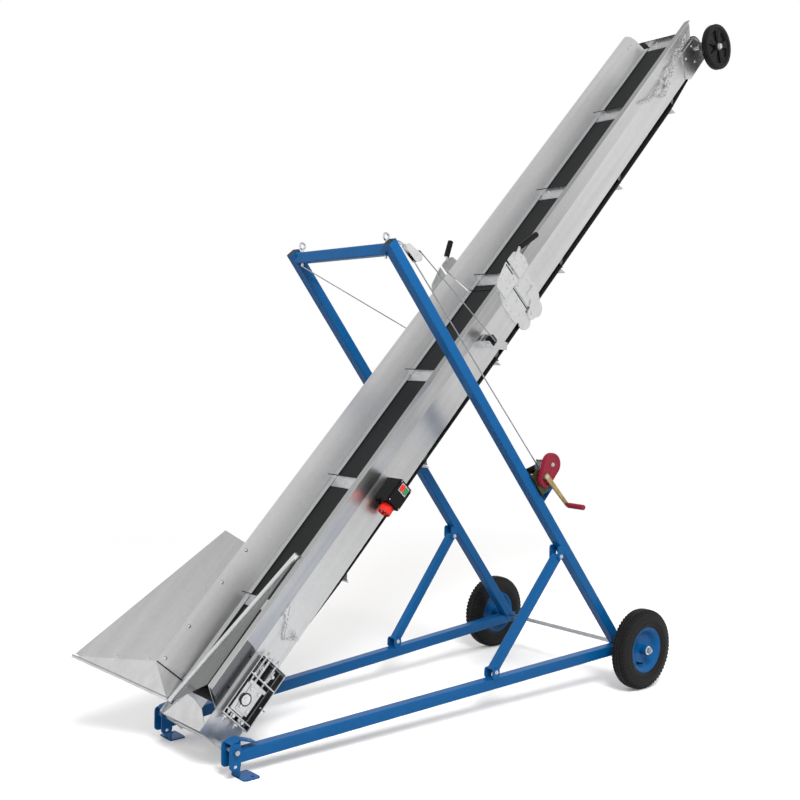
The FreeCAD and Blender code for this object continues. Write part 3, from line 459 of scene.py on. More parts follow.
FLOAT, VECTOR, COLOR = "NodeSocketFloat", "NodeSocketVector", "NodeSocketColor"


def cloud_group() -> bpy.types.NodeTree:
    """Group that gives a soft cloudy value from noise at a scale, between two values."""
    group = Group("soft_clouds", [("Vector", VECTOR, None), ("Scale", FLOAT, 4.0), ("Low", FLOAT, 0.0),
                                  ("High", FLOAT, 1.0)], [("Value", FLOAT)])
    given = group.source.outputs
    noise = group.node("TexNoise", {"Vector": given["Vector"], "Scale": given["Scale"], "Detail": 4.0})
    spread = group.node("MapRange", {"Value": noise.outputs["Fac"], "From Min": 0.3, "From Max": 0.7,
                                     "To Min": given["Low"], "To Max": given["High"]})
    return group.finished(Value=spread.outputs["Result"])


def spangle_group() -> bpy.types.NodeTree:
    """Group for the crystal flakes of hot-dip zinc: cells of slightly different brightness."""
    group = Group("zinc_spangle", [("Vector", VECTOR, None), ("Scale", FLOAT, 60.0), ("Strength", FLOAT, 0.1),
                                   ("Color", COLOR, (0.7, 0.7, 0.7, 1.0))],
                  [("Color", COLOR), ("Value", FLOAT)])
    given = group.source.outputs
    cells = group.node("TexVoronoi", {"Vector": given["Vector"], "Scale": given["Scale"]})
    grey = group.node("SeparateColor", {"Color": cells.outputs["Color"]})
    spread = group.node("Math", {0: grey.outputs["Red"], 1: -0.5}, operation="ADD")
    strong = group.node("Math", {0: spread.outputs[0], 1: given["Strength"]}, operation="MULTIPLY")
    factor = group.node("Math", {0: strong.outputs[0], 1: 1.0}, operation="ADD")
    tint = group.node("VectorMath", {0: given["Color"], "Scale": factor.outputs[0]}, operation="SCALE")
    return group.finished(Color=tint.outputs["Vector"], Value=strong.outputs[0])


def wear_group() -> bpy.types.NodeTree:
    """Group for wear along edges: a mask that is 1 where the surface is convex and the noise is high."""
    group = Group("edge_wear", [("Vector", VECTOR, None), ("Scale", FLOAT, 40.0), ("Amount", FLOAT, 0.3)],
                  [("Mask", FLOAT)])
    given = group.source.outputs
    geometry = group.node("NewGeometry")
    convex = group.node("MapRange", {"Value": geometry.outputs["Pointiness"], "From Min": 0.52,
                                     "From Max": 0.6})
    noise = group.node("TexNoise", {"Vector": given["Vector"], "Scale": given["Scale"], "Detail": 5.0})
    rough = group.node("MapRange", {"Value": noise.outputs["Fac"], "From Min": 0.45, "From Max": 0.62})
    both = group.node("Math", {0: convex.outputs["Result"], 1: rough.outputs["Result"]},
                      operation="MULTIPLY")
    amount = group.node("Math", {0: both.outputs[0], 1: given["Amount"]}, operation="MULTIPLY")
    return group.finished(Mask=amount.outputs[0])


def grain_group() -> bpy.types.NodeTree:
    """Group for the rolled grain of sheet: noise drawn out along the trough's slope."""
    group = Group("rolled_grain", [("Vector", VECTOR, None), ("Amount", FLOAT, 0.06)], [("Value", FLOAT)])
    given = group.source.outputs
    level = group.node("VectorRotate", {"Vector": given["Vector"], "Angle": TROUGH.incline},
                       rotation_type="Y_AXIS")
    drawn = group.node("VectorMath", {0: level.outputs[0], 1: (0.9, 26.0, 26.0)}, operation="MULTIPLY")
    noise = group.node("TexNoise", {"Vector": drawn.outputs[0], "Scale": 1.0, "Detail": 3.0})
    low = group.node("Math", {0: 1.0, 1: given["Amount"]}, operation="SUBTRACT")
    spread = group.node("MapRange", {"Value": noise.outputs["Fac"], "From Min": 0.3, "From Max": 0.7,
                                     "To Min": low.outputs[0], "To Max": 1.0})
    return group.finished(Value=spread.outputs["Result"])


@dataclass(frozen=True)
class Effects:
    """The shared node groups, built once."""

    grain: bpy.types.NodeTree
    clouds: bpy.types.NodeTree
    spangle: bpy.types.NodeTree
    wear: bpy.types.NodeTree


@dataclass(frozen=True)
class Sheet:
    """Galvanised or bright sheet steel: zinc flakes, soft clouds of brightness and a rolled grain."""

    name: str
    color: tuple[float, float, float]
    roughness: float
    spangle: float = 0.035
    cloud: float = 0.07
    grain: float = 0.10
    spangle_scale: float = 70.0
    cloud_scale: float = 1.6
    bump: float = 0.01

    def build(self, effects: Effects) -> bpy.types.Material:
        """Makes the material.

        Args:
            effects: The shared node groups.

        Returns:
            The material.
        """
        material, tree, shader, vector = new_material(self.name)
        flakes = add_node(tree, "Group", {"Vector": vector, "Scale": self.spangle_scale,
                                          "Strength": self.spangle, "Color": (*self.color, 1.0)},
                          node_tree=effects.spangle)
        clouds = add_node(tree, "Group", {"Vector": vector, "Scale": self.cloud_scale,
                                          "Low": 1.0 - self.cloud, "High": 1.0},
                          node_tree=effects.clouds)
        grain = add_node(tree, "Group", {"Vector": vector, "Amount": self.grain}, node_tree=effects.grain)
        both = add_node(tree, "Math", {0: clouds.outputs["Value"], 1: grain.outputs["Value"]},
                        operation="MULTIPLY")
        tint = add_node(tree, "VectorMath", {0: flakes.outputs["Color"], "Scale": both.outputs[0]},
                        operation="SCALE")
        rough = add_node(tree, "MapRange", {"Value": both.outputs[0], "From Min": 1.0 - self.cloud,
                                            "From Max": 1.0, "To Min": self.roughness + 0.07,
                                            "To Max": self.roughness})
        bump = add_node(tree, "Bump", {"Height": flakes.outputs["Value"], "Strength": self.bump,
                                       "Distance": 0.001})
        fill(tree, shader, {"Base Color": tint.outputs["Vector"], "Roughness": rough.outputs["Result"],
                            "Normal": bump.outputs["Normal"], "Metallic": 1.0})
        return material


@dataclass(frozen=True)
class Coat:
    """Paint, rubber or plastic: a colour with soft clouds, worn edges and a fine skin."""

    name: str
    color: tuple[float, float, float]
    roughness: float
    worn: tuple[float, float, float]
    wear: float = 0.2
    cloud: float = 0.12
    cloud_scale: float = 9.0
    skin_scale: float = 600.0
    skin: float = 0.05
    shine: float = 0.35

    def build(self, effects: Effects) -> bpy.types.Material:
        """Makes the material.

        Args:
            effects: The shared node groups.

        Returns:
            The material.
        """
        material, tree, shader, vector = new_material(self.name)
        clouds = add_node(tree, "Group", {"Vector": vector, "Scale": self.cloud_scale,
                                          "Low": 1.0 - self.cloud, "High": 1.0 + self.cloud},
                          node_tree=effects.clouds)
        tint = add_node(tree, "VectorMath", {0: self.color, "Scale": clouds.outputs["Value"]},
                        operation="SCALE")
        wear = add_node(tree, "Group", {"Vector": vector, "Amount": self.wear}, node_tree=effects.wear)
        mix = add_node(tree, "Mix", {0: wear.outputs["Mask"], 6: tint.outputs["Vector"],
                                     7: (*self.worn, 1.0)}, data_type="RGBA")
        rough = add_node(tree, "MapRange", {"Value": clouds.outputs["Value"], "From Min": 1.0 - self.cloud,
                                            "From Max": 1.0 + self.cloud, "To Min": self.roughness - 0.04,
                                            "To Max": self.roughness + 0.05})
        noise = add_node(tree, "TexNoise", {"Vector": vector, "Scale": self.skin_scale, "Detail": 3.0})
        bump = add_node(tree, "Bump", {"Height": noise.outputs["Fac"], "Strength": self.skin,
                                       "Distance": 0.001})
        fill(tree, shader, {"Base Color": mix.outputs[2], "Roughness": rough.outputs["Result"],
                            "Normal": bump.outputs["Normal"], "Specular IOR Level": self.shine})
        return material


def new_material(name: str) -> tuple[bpy.types.Material, bpy.types.NodeTree, bpy.types.Node,
                                     bpy.types.NodeSocket]:
    """Starts a node material.

    Args:
        name: Name of the material.

    Returns:
        The material, its tree, its shader node and the object coordinates' socket.
    """
    material = bpy.data.materials.new(name)
    material.use_nodes = True
    tree = material.node_tree
    shader = next(node for node in tree.nodes if node.type == "BSDF_PRINCIPLED")
    coordinates = add_node(tree, "TexCoord")
    return material, tree, shader, coordinates.outputs["Object"]


class Palette:
    """All finishes of the machine."""

    def __init__(self) -> None:
        """Builds the shared effects and every finish."""
        effects = Effects(grain_group(), cloud_group(), spangle_group(), wear_group())

        def made(slot: str, look: Sheet | Coat) -> Finish:
            """Finish with its material built."""
            return Finish(look.build(effects), slot)

        self.sheet = made("galvanised", Sheet("galvanised_sheet", (0.83, 0.84, 0.85), 0.27))
        self.bright = made("galvanised", Sheet("bright_zinc", (0.92, 0.93, 0.94), 0.22, spangle=0.02,
                                               cloud=0.05, grain=0.04))
        self.pale = made("galvanised", Sheet("pale_zinc", (0.93, 0.94, 0.95), 0.5, spangle=0.02, cloud=0.04,
                                             grain=0.03))
        self.guard = made("galvanised", Sheet("rolled_guard", (0.20, 0.205, 0.21), 0.24, grain=0.05))
        self.rod = made("galvanised", Sheet("zinc_rod", (0.62, 0.64, 0.66), 0.32, spangle=0.03))
        self.yellow_zinc = made("zinc_yellow", Sheet("yellow_zinc", (0.82, 0.64, 0.28), 0.28, spangle=0.05,
                                                     cloud=0.35, grain=0.0, cloud_scale=30.0))
        self.olive_zinc = made("zinc_yellow", Sheet("olive_zinc", (0.16, 0.15, 0.085), 0.36, spangle=0.05,
                                                    cloud=0.3, grain=0.0, cloud_scale=24.0))
        self.wire = made("wire_rope", Sheet("wire_rope", (0.50, 0.51, 0.52), 0.40, spangle=0.0, grain=0.0))
        self.blue = made("blue_paint", Coat("blue_enamel", (0.001, 0.078, 0.235), 0.32, (0.01, 0.12, 0.33),
                                            wear=0.08, skin=0.01, cloud=0.05, shine=0.22))
        self.red = made("red_plastic", Coat("dark_red_plastic", (0.21, 0.010, 0.028), 0.42,
                                            (0.35, 0.04, 0.07), wear=0.1, skin=0.03, cloud=0.06))
        self.signal_red = made("red_plastic", Coat("signal_red_plastic", (0.66, 0.016, 0.008), 0.35,
                                                   (0.7, 0.1, 0.08), wear=0.1))
        self.green = made("black_plastic", Coat("green_plastic", (0.02, 0.22, 0.06), 0.35, (0.1, 0.3, 0.12),
                                                wear=0.1))
        self.belt = made("belt_rubber", Coat("belt_rubber", (0.014, 0.015, 0.0155), 0.6, (0.03, 0.03, 0.03),
                                             wear=0.05, skin=0.12, skin_scale=900.0, shine=0.2))
        self.tyre = made("tyre_rubber", Coat("tyre_rubber", (0.0075, 0.0075, 0.008), 0.5,
                                             (0.02, 0.02, 0.02), wear=0.1, skin=0.08, shine=0.25))
        self.black = made("black_plastic", Coat("black_plastic", (0.005, 0.005, 0.0055), 0.42,
                                                (0.015, 0.015, 0.015), wear=0.05, shine=0.22))
        self.housing = made("grey_plastic", Coat("dark_housing", (0.004, 0.004, 0.0045), 0.40,
                                                 (0.012, 0.012, 0.012), wear=0.05, shine=0.2))

    def by_slot(self, slot: str) -> Finish:
        """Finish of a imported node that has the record's slot."""
        usual = (self.sheet, self.yellow_zinc, self.blue, self.tyre, self.belt, self.wire, self.black,
                 self.red, self.housing)
        return next(finish for finish in usual if finish.slot == slot)


@dataclass
class Studio:
    """Pale floor, plain world and soft lamps."""

    shadow_reach: float = 3.2
    white_reach: float = 5.5
    floor_lift: float = 0.08
    floor_white: float = 0.93
    mirrored: float = 0.56
    horizon_light: float = 0.84
    sky_light: float = 0.40

    def build(self) -> None:
        """Makes the floor, the world and the lamps."""
        scene = bpy.context.scene
        scene.view_settings.view_transform = "Standard"
        world = bpy.data.worlds.new("studio_world")
        scene.world = world
        world.use_nodes = True
        tree = world.node_tree
        tree.nodes.clear()
        way = add_node(tree, "TexCoord")
        split = add_node(tree, "SeparateXYZ", {0: way.outputs["Generated"]})
        height = add_node(tree, "MapRange",
                          {"Value": split.outputs["Z"], "From Min": 0.50, "From Max": 0.95,
                           "To Min": self.horizon_light, "To Max": self.sky_light},
                          interpolation_type="SMOOTHSTEP")
        light = add_node(tree, "Background", {"Color": (1.0, 0.985, 0.975, 1.0),
                                              "Strength": height.outputs["Result"]})
        seen = add_node(tree, "Background", {"Color": (1.0, 1.0, 1.0, 1.0), "Strength": 1.0})
        path = add_node(tree, "LightPath")
        mix = add_node(tree, "MixShader", {0: path.outputs["Is Camera Ray"], 1: light.outputs[0],
                                           2: seen.outputs[0]})
        add_node(tree, "OutputWorld", {"Surface": mix.outputs[0]})
        self.floor()
        self.lamp("key_lamp", (-2.5, -4.5, 6.0), 2.6, 560.0)
        self.lamp("fill_lamp", (-5.0, 3.0, 4.0), 3.0, 60.0)
        self.lamp("rim_lamp", (4.5, 3.0, 6.0), 3.0, 80.0)

    def floor(self) -> None:
        """Makes a wide floor that fades to white and keeps soft shadows."""
        mesh = bpy.data.meshes.new("studio_floor")
        reach = 30.0
        corners = [(x, y, 0.0) for x, y in rectangle((-reach, -reach), (reach, reach))]
        mesh.from_pydata(corners, [], [(0, 1, 2, 3)])
        floor = bpy.data.objects.new("studio_floor", mesh)
        bpy.context.scene.collection.objects.link(floor)
        material, tree, shader, vector = new_material("studio_floor")
        distance = add_node(tree, "VectorMath", {0: vector}, operation="LENGTH")
        far = add_node(tree, "MapRange", {"Value": distance.outputs["Value"],
                                          "From Min": self.shadow_reach, "From Max": self.white_reach})
        path = add_node(tree, "LightPath")
        pale = add_node(tree, "MapRange", {"Value": path.outputs["Is Camera Ray"], "To Min": self.mirrored,
                                           "To Max": self.floor_white})
        fill(tree, shader, {"Base Color": pale.outputs["Result"], "Roughness": 0.7,
                            "Specular IOR Level": 0.1})
        seen = add_node(tree, "Math", {0: path.outputs["Is Camera Ray"], 1: far.outputs["Result"]},
                        operation="MULTIPLY")
        lift = add_node(tree, "Math", {0: path.outputs["Is Camera Ray"], 1: self.floor_lift},
                        operation="MULTIPLY")
        glow = add_node(tree, "Emission", {"Color": (1.0, 1.0, 1.0, 1.0), "Strength": lift.outputs[0]})
        near = add_node(tree, "AddShader", {0: shader.outputs[0], 1: glow.outputs[0]})
        white = add_node(tree, "Emission", {"Color": (1.0, 1.0, 1.0, 1.0), "Strength": 1.0})
        both = add_node(tree, "MixShader", {0: seen.outputs[0], 1: near.outputs[0], 2: white.outputs[0]})
        out = next(node for node in tree.nodes if node.type == "OUTPUT_MATERIAL")
        tree.links.new(both.outputs[0], out.inputs["Surface"])
        mesh.materials.append(material)

    def lamp(self, name: str, place: tuple[float, float, float], size: float, power: float) -> None:
        """Makes a square area lamp that looks at the middle of the machine.

        Args:
            name: Name of the lamp.
            place: Place in metres.
            size: Side of the square in metres.
            power: Power in watts.
        """
        data = bpy.data.lights.new(name, "AREA")
        data.size = size
        data.energy = power
        lamp = bpy.data.objects.new(name, data)
        lamp.visible_glossy = False
        bpy.context.scene.collection.objects.link(lamp)
        lamp.location = place
        lamp.rotation_mode = "QUATERNION"
        lamp.rotation_quaternion = (Vector((0.0, 0.0, 1.5)) - Vector(place)).to_track_quat("-Z", "Y")


def rounded_outline(corners: Profile, radius: float, steps: int = 4) -> Points:
    """Closed outline with its corners rounded.

    Each corner becomes an arc that touches both its edges, at radius or at 0.45 of the shorter edge.

    Args:
        corners: Corner points.
        radius: Radius of the arcs.
        steps: Points on each arc.

    Returns:
        Array of shape (points, 2).
    """
    ring_points = np.asarray(corners, float)
    out = []
    for before, here, after in zip(np.roll(ring_points, 1, 0), ring_points, np.roll(ring_points, -1, 0)):
        back, ahead = before - here, after - here
        back_length, ahead_length = np.linalg.norm(back), np.linalg.norm(ahead)
        back, ahead = back / back_length, ahead / ahead_length
        half = 0.5 * math.acos(float(np.clip(back @ ahead, -0.9999, 0.9999)))
        reach = min(radius / math.tan(half), 0.45 * min(back_length, ahead_length))
        start, end = here + back * reach, here + ahead * reach
        share = np.linspace(0.0, 1.0, steps)[:, None]
        out.append((1 - share) ** 2 * start + 2 * share * (1 - share) * here + share ** 2 * end)
    return np.vstack(out)


def rectangle(low: tuple[float, float], high: tuple[float, float]) -> list[tuple[float, float]]:
    """Corners of a rectangle from its low and high ones."""
    return [low, (high[0], low[1]), high, (low[0], high[1])]


def straight_tube(mesher: Mesher, start: Points, end: Points, outline: Points) -> None:
    """Carries a closed outline along a straight line, and closes both ends.

    The outline's first axis lies level across the line, and its second square off both.

    Args:
        mesher: Piece to add to.
        start: Start of the line, in metres.
        end: End of the line.
        outline: Outline of shape (points, 2), in millimetres.
    """
    start, end = np.asarray(start, float), np.asarray(end, float)
    ahead = (end - start) / np.linalg.norm(end - start)
    helper = np.array([0.0, 0.0, 1.0]) if abs(ahead[2]) < 0.99 else np.array([0.0, 1.0, 0.0])
    across = np.cross(helper, ahead)
    across /= np.linalg.norm(across)
    up = np.cross(ahead, across)
    shape = outline[:, :1] * MM * across + outline[:, 1:] * MM * up
    mesher.prism(start + shape, end + shape)


def square_outline(side: float, radius: float) -> Points:
    """Outline of a square tube with rounded corners."""
    half = side / 2
    return rounded_outline([(half, -half), (half, half), (-half, half), (-half, -half)], radius, 5)


def bolt(mesher: Mesher, place: Points, axis: Points, radius: float, height: float, sides: int = 6) -> None:
    """Adds a bolt head or nut on its washer; with more than six sides it is a dome.

    Args:
        mesher: Piece to add to.
        place: Middle of its seat, in metres.
        axis: Direction that it points in.
        radius: Radius over its corners, in millimetres.
        height: Height in millimetres.
        sides: Corners.
    """
    if sides == 6:
        shape = [(0.0, 0.0), (0.0, radius * 1.35), (0.16 * height, radius * 1.35), (0.16 * height, radius),
                 (0.85 * height, radius), (height, 0.82 * radius), (height, 0.0)]
    else:
        shape = [(0.0, 0.0), (0.0, radius), (0.3 * height, radius), (0.75 * height, 0.75 * radius),
                 (0.95 * height, 0.4 * radius), (height, 0.0)]
    turned(mesher, place, axis, shape, sides)


def slope_plate(mesher: Mesher, outline: Points, y: float, thick: float) -> None:
    """Adds a plate in a plane of constant y of the trough.

    Args:
        mesher: Piece to add to.
        outline: Outline of shape (points, 2) in s and n, in millimetres.
        y: Low side of the plate.
        thick: Thickness towards +y.
    """
    mesher.plate(TROUGH.place, outline, y, y + thick)


@dataclass(frozen=True)
class StandSizes:
    """Sizes of the stand, in millimetres."""

    axle_x: float = 769.1
    base_length: float = 2216.0
    foot_y: float = 267.0
    beam_rear_y: float = 402.0
    beam_front_z: float = 86.0
    beam_rear_z: float = 190.0
    beam_tail: float = 34.0
    mast_base_y: float = 382.0
    mast_top_y: float = 344.0
    mast_base_back: float = 30.0
    mast_lean: float = 1569.0
    mast_height: float = 2122.0
    mast_base_z: float = 211.0
    brace_foot_back: float = 900.0
    brace_head_share: float = 0.285
    lug_height: float = 30.0
    tube: float = 50.0
    brace_tube: float = 40.0
    pivot_back: float = 39.0
    pivot_z: float = 111.0
    tyre_y: float = 516.0

    def beam(self, side: int, back: float) -> Points:
        """Point on a beam's middle line, in metres, at a distance in front of the axle."""
        share = back / self.base_length
        y = self.beam_rear_y - share * (self.beam_rear_y - self.foot_y)
        z = self.beam_rear_z - share * (self.beam_rear_z - self.beam_front_z)
        return at(self.axle_x - back, side * y, z)

    def mast(self, side: int, share: float) -> Points:
        """Point on a mast leg's middle line, in metres, at a share of its rise."""
        x = self.axle_x - self.mast_base_back - share * (self.mast_lean - self.mast_base_back)
        y = self.mast_base_y - share * (self.mast_base_y - self.mast_top_y)
        z = self.mast_base_z + share * (self.mast_height - self.mast_base_z)
        return at(x, side * y, z)


@dataclass(frozen=True)
class LegFrame:
    """Frame on the right mast leg: along it, across it outwards, and off its rear face."""

    sizes: StandSizes = StandSizes()

    def axes(self) -> tuple[Points, Points, Points]:
        """Directions along the leg, outwards and off its rear face."""
        ahead = self.sizes.mast(-1, 1.0) - self.sizes.mast(-1, 0.0)
        ahead /= np.linalg.norm(ahead)
        across = np.array([ahead[1], -ahead[0], 0.0])
        across /= -np.linalg.norm(across)
        return ahead, across, np.cross(ahead, across)

    def place(self, along: Points, across: Points, lift: Points) -> Points:
        """Places in metres from distances in millimetres."""
        return self.sizes.mast(-1, 0.0) + at(along, across, lift) @ np.array(self.axes())


@dataclass
class Stand:
    """Blue tube frame: base beams, mast, crossbar, braces and feet."""

    sizes: StandSizes = StandSizes()
    corner: float = 6.0
    half_plate: float = 3.0
    half_web: float = 27.0
    peg_hole: float = 7.0

    def build(self, palette: Palette) -> None:
        """Builds every piece of the frame.

        Args:
            palette: All finishes.
        """
        tube_outline = square_outline(self.sizes.tube, self.corner)
        brace_outline = square_outline(self.sizes.brace_tube, self.corner)
        for side in Side:
            self.beam(palette, side, tube_outline)
            self.leg(palette, side, tube_outline)
            self.brace(palette, side, brace_outline)
            self.foot(palette, side)
        self.crossbar(palette, tube_outline)
        self.caps(palette)

    def beam(self, palette: Palette, side: Side, outline: Points) -> None:
        """Base beam with its brace lugs."""
        sizes = self.sizes
        mesher = Mesher("beam_tube_" + side.word)
        start = sizes.beam(side.value, sizes.base_length + 19.0)
        straight_tube(mesher, start, sizes.beam(side.value, -sizes.beam_tail), outline)
        pin = self.foot_pin(side.value)
        self.lugs(mesher, pin, -sizes.lug_height - 4.0, 16.0)
        mesher.build(palette.blue, Body.STAND, instead="beam_" + side.word)

    def foot_pin(self, side: int) -> Points:
        """Lower brace pin."""
        point = self.sizes.beam(side, self.sizes.brace_foot_back)
        return point + np.array([0.0, 0.0, (self.sizes.tube / 2 + self.sizes.lug_height) * MM])

    def head_pin(self, side: int) -> Points:
        """Upper brace pin."""
        point = self.sizes.mast(side, self.sizes.brace_head_share)
        shift = self.sizes.tube / 2
        return point + np.array([-shift, 0.0, -shift - self.sizes.lug_height]) * MM

    def lugs(self, mesher: Mesher, pin: Points, low: float, high: float) -> None:
        """Two rounded lugs either side of a brace end, with a pin through them."""
        x, y, z = pin / MM
        outline = rounded_outline(rectangle((-22.0, low), (22.0, high)), 14.0, 5) + (x, z)
        for edge in (1, -1):
            middle = y + edge * (self.sizes.brace_tube / 2 + 5.5)
            mesher.plate(at, outline, middle - self.half_plate, middle + self.half_plate)

    def leg(self, palette: Palette, side: Side, outline: Points) -> None:
        """Mast leg with its brace lugs."""
        sizes = self.sizes
        mesher = Mesher("mast_tube_" + side.word)
        straight_tube(mesher, sizes.mast(side.value, 0.004), sizes.mast(side.value, 1.0), outline)
        self.lugs(mesher, self.head_pin(side.value), -14.0, sizes.lug_height + 22.0)
        mesher.build(palette.blue, Body.STAND, instead="mast_leg_" + side.word)

    def brace(self, palette: Palette, side: Side, outline: Points) -> None:
        """Brace with the bolts through its ends."""
        mesher = Mesher("brace_tube_" + side.word)
        low, high = self.foot_pin(side.value), self.head_pin(side.value)
        straight_tube(mesher, low, high, outline)
        mesher.build(palette.blue, Body.STAND, instead="brace_" + side.word)
        bolts = Mesher("brace_bolts_" + side.word)
        reach = (self.sizes.brace_tube / 2 + 8.5) * MM
        for pin in (low, high):
            for edge in Side:
                bolt(bolts, pin + edge.out * reach, edge.out, 8.0, 7.0)
        bolts.build(palette.bright, Body.STAND)

    def foot(self, palette: Palette, side: Side) -> None:
        """Foot bracket: two rounded ears, a web, a sloping cover and a floor tab with its hole."""
        sizes = self.sizes
        mesher = Mesher("foot_bracket_" + side.word)
        foot_x, middle = sizes.axle_x - sizes.base_length, side.value * sizes.foot_y
        ear = rounded_outline(rectangle((-65.0, 40.0), (-14.0, 142.0)), 20.0, 8)
        for edge in (1, -1):
            y = middle + edge * (sizes.tube / 2 + 4.0)
            mesher.plate(at, ear + (foot_x, 0.0), y - self.half_plate, y + self.half_plate)
        cover = [(-48.0, 134.0), (-40.0, 142.0), (-12.0, 148.0), (64.0, 122.0), (64.0, 128.0),
                 (-12.0, 155.0), (-44.0, 149.0), (-54.0, 138.0)]
        for shape in (cover, rectangle((-20.0, 0.0), (-14.0, 150.0))):
            outline = np.array(shape) + (foot_x, 0.0)
            mesher.plate(at, outline, middle - self.half_web, middle + self.half_web)
        self.tab(mesher, foot_x, side)
        mesher.build(palette.blue, Body.STAND, instead="foot_" + side.word)
        nuts = Mesher("pivot_nuts_" + side.word)
        for edge in Side:
            place = at(foot_x - sizes.pivot_back, middle + edge.value * 30.0, sizes.pivot_z)
            bolt(nuts, place, edge.out, 9.0, 6.0)
            bolt(nuts, place + at(0.0, edge.value, -58.0), edge.out, 7.0, 4.0, 16)
        nuts.build(palette.bright, Body.STAND)

    def tab(self, mesher: Mesher, foot_x: float, side: Side) -> None:
        """Floor tab with a peg hole: a ring of quads between the outline and the hole, top and bottom."""
        sizes = self.sizes
        middle = np.array([30.0, sizes.foot_y + sizes.tube / 2 + 22.0])
        turn = np.linspace(0.0, 2.0 * math.pi, 24, endpoint=False)
        ray = np.stack((np.cos(turn), np.sin(turn)), 1)
        hole = middle + self.peg_hole * ray
        low, high = np.array([-20.0, sizes.foot_y - self.half_web]), np.array([54.0, sizes.foot_y + 67.0])
        limit = np.where(ray > 0, high - middle, low - middle)
        reach = np.min(np.abs(limit / np.where(np.abs(ray) < 1e-6, 1e-6, ray)), axis=1)
        rim = middle + ray * reach[:, None]
        thick = 2.0 * self.half_plate
        layers = [at(foot_x + flat[:, 0], side.value * flat[:, 1], z)
                  for flat, z in ((hole, 0.0), (rim, 0.0), (rim, thick), (hole, thick))]
        mesher.grid(np.stack(layers), close_u=True, close_v=True)

    def crossbar(self, palette: Palette, outline: Points) -> None:
        """Bar between the mast tops."""
        sizes = self.sizes
        x = (sizes.axle_x - sizes.mast_lean + 22.4) * MM
        z = (sizes.mast_height - 28.0) * MM
        mesher = Mesher("crossbar_tube")
        reach = (sizes.mast_top_y - 20.0) * MM
        straight_tube(mesher, (x, -reach, z), (x, reach, z), outline)
        mesher.build(palette.blue, Body.STAND, instead="crossbar")

    def caps(self, palette: Palette) -> None:
        """Black caps in the open ends of the beams and mast legs."""
        mesher = Mesher("tube_caps")
        outline = square_outline(self.sizes.tube - 7.0, 4.0)
        for side in Side:
            for inner, outer in ((self.sizes.beam(side.value, -20.0), self.sizes.beam(side.value, -33.9)),
                                 (self.sizes.mast(side.value, 0.99), self.sizes.mast(side.value, 0.9999))):
                ahead = (outer - inner) / np.linalg.norm(outer - inner)
                straight_tube(mesher, inner, outer + ahead * 0.0012, outline)
        mesher.build(palette.black, Body.STAND)


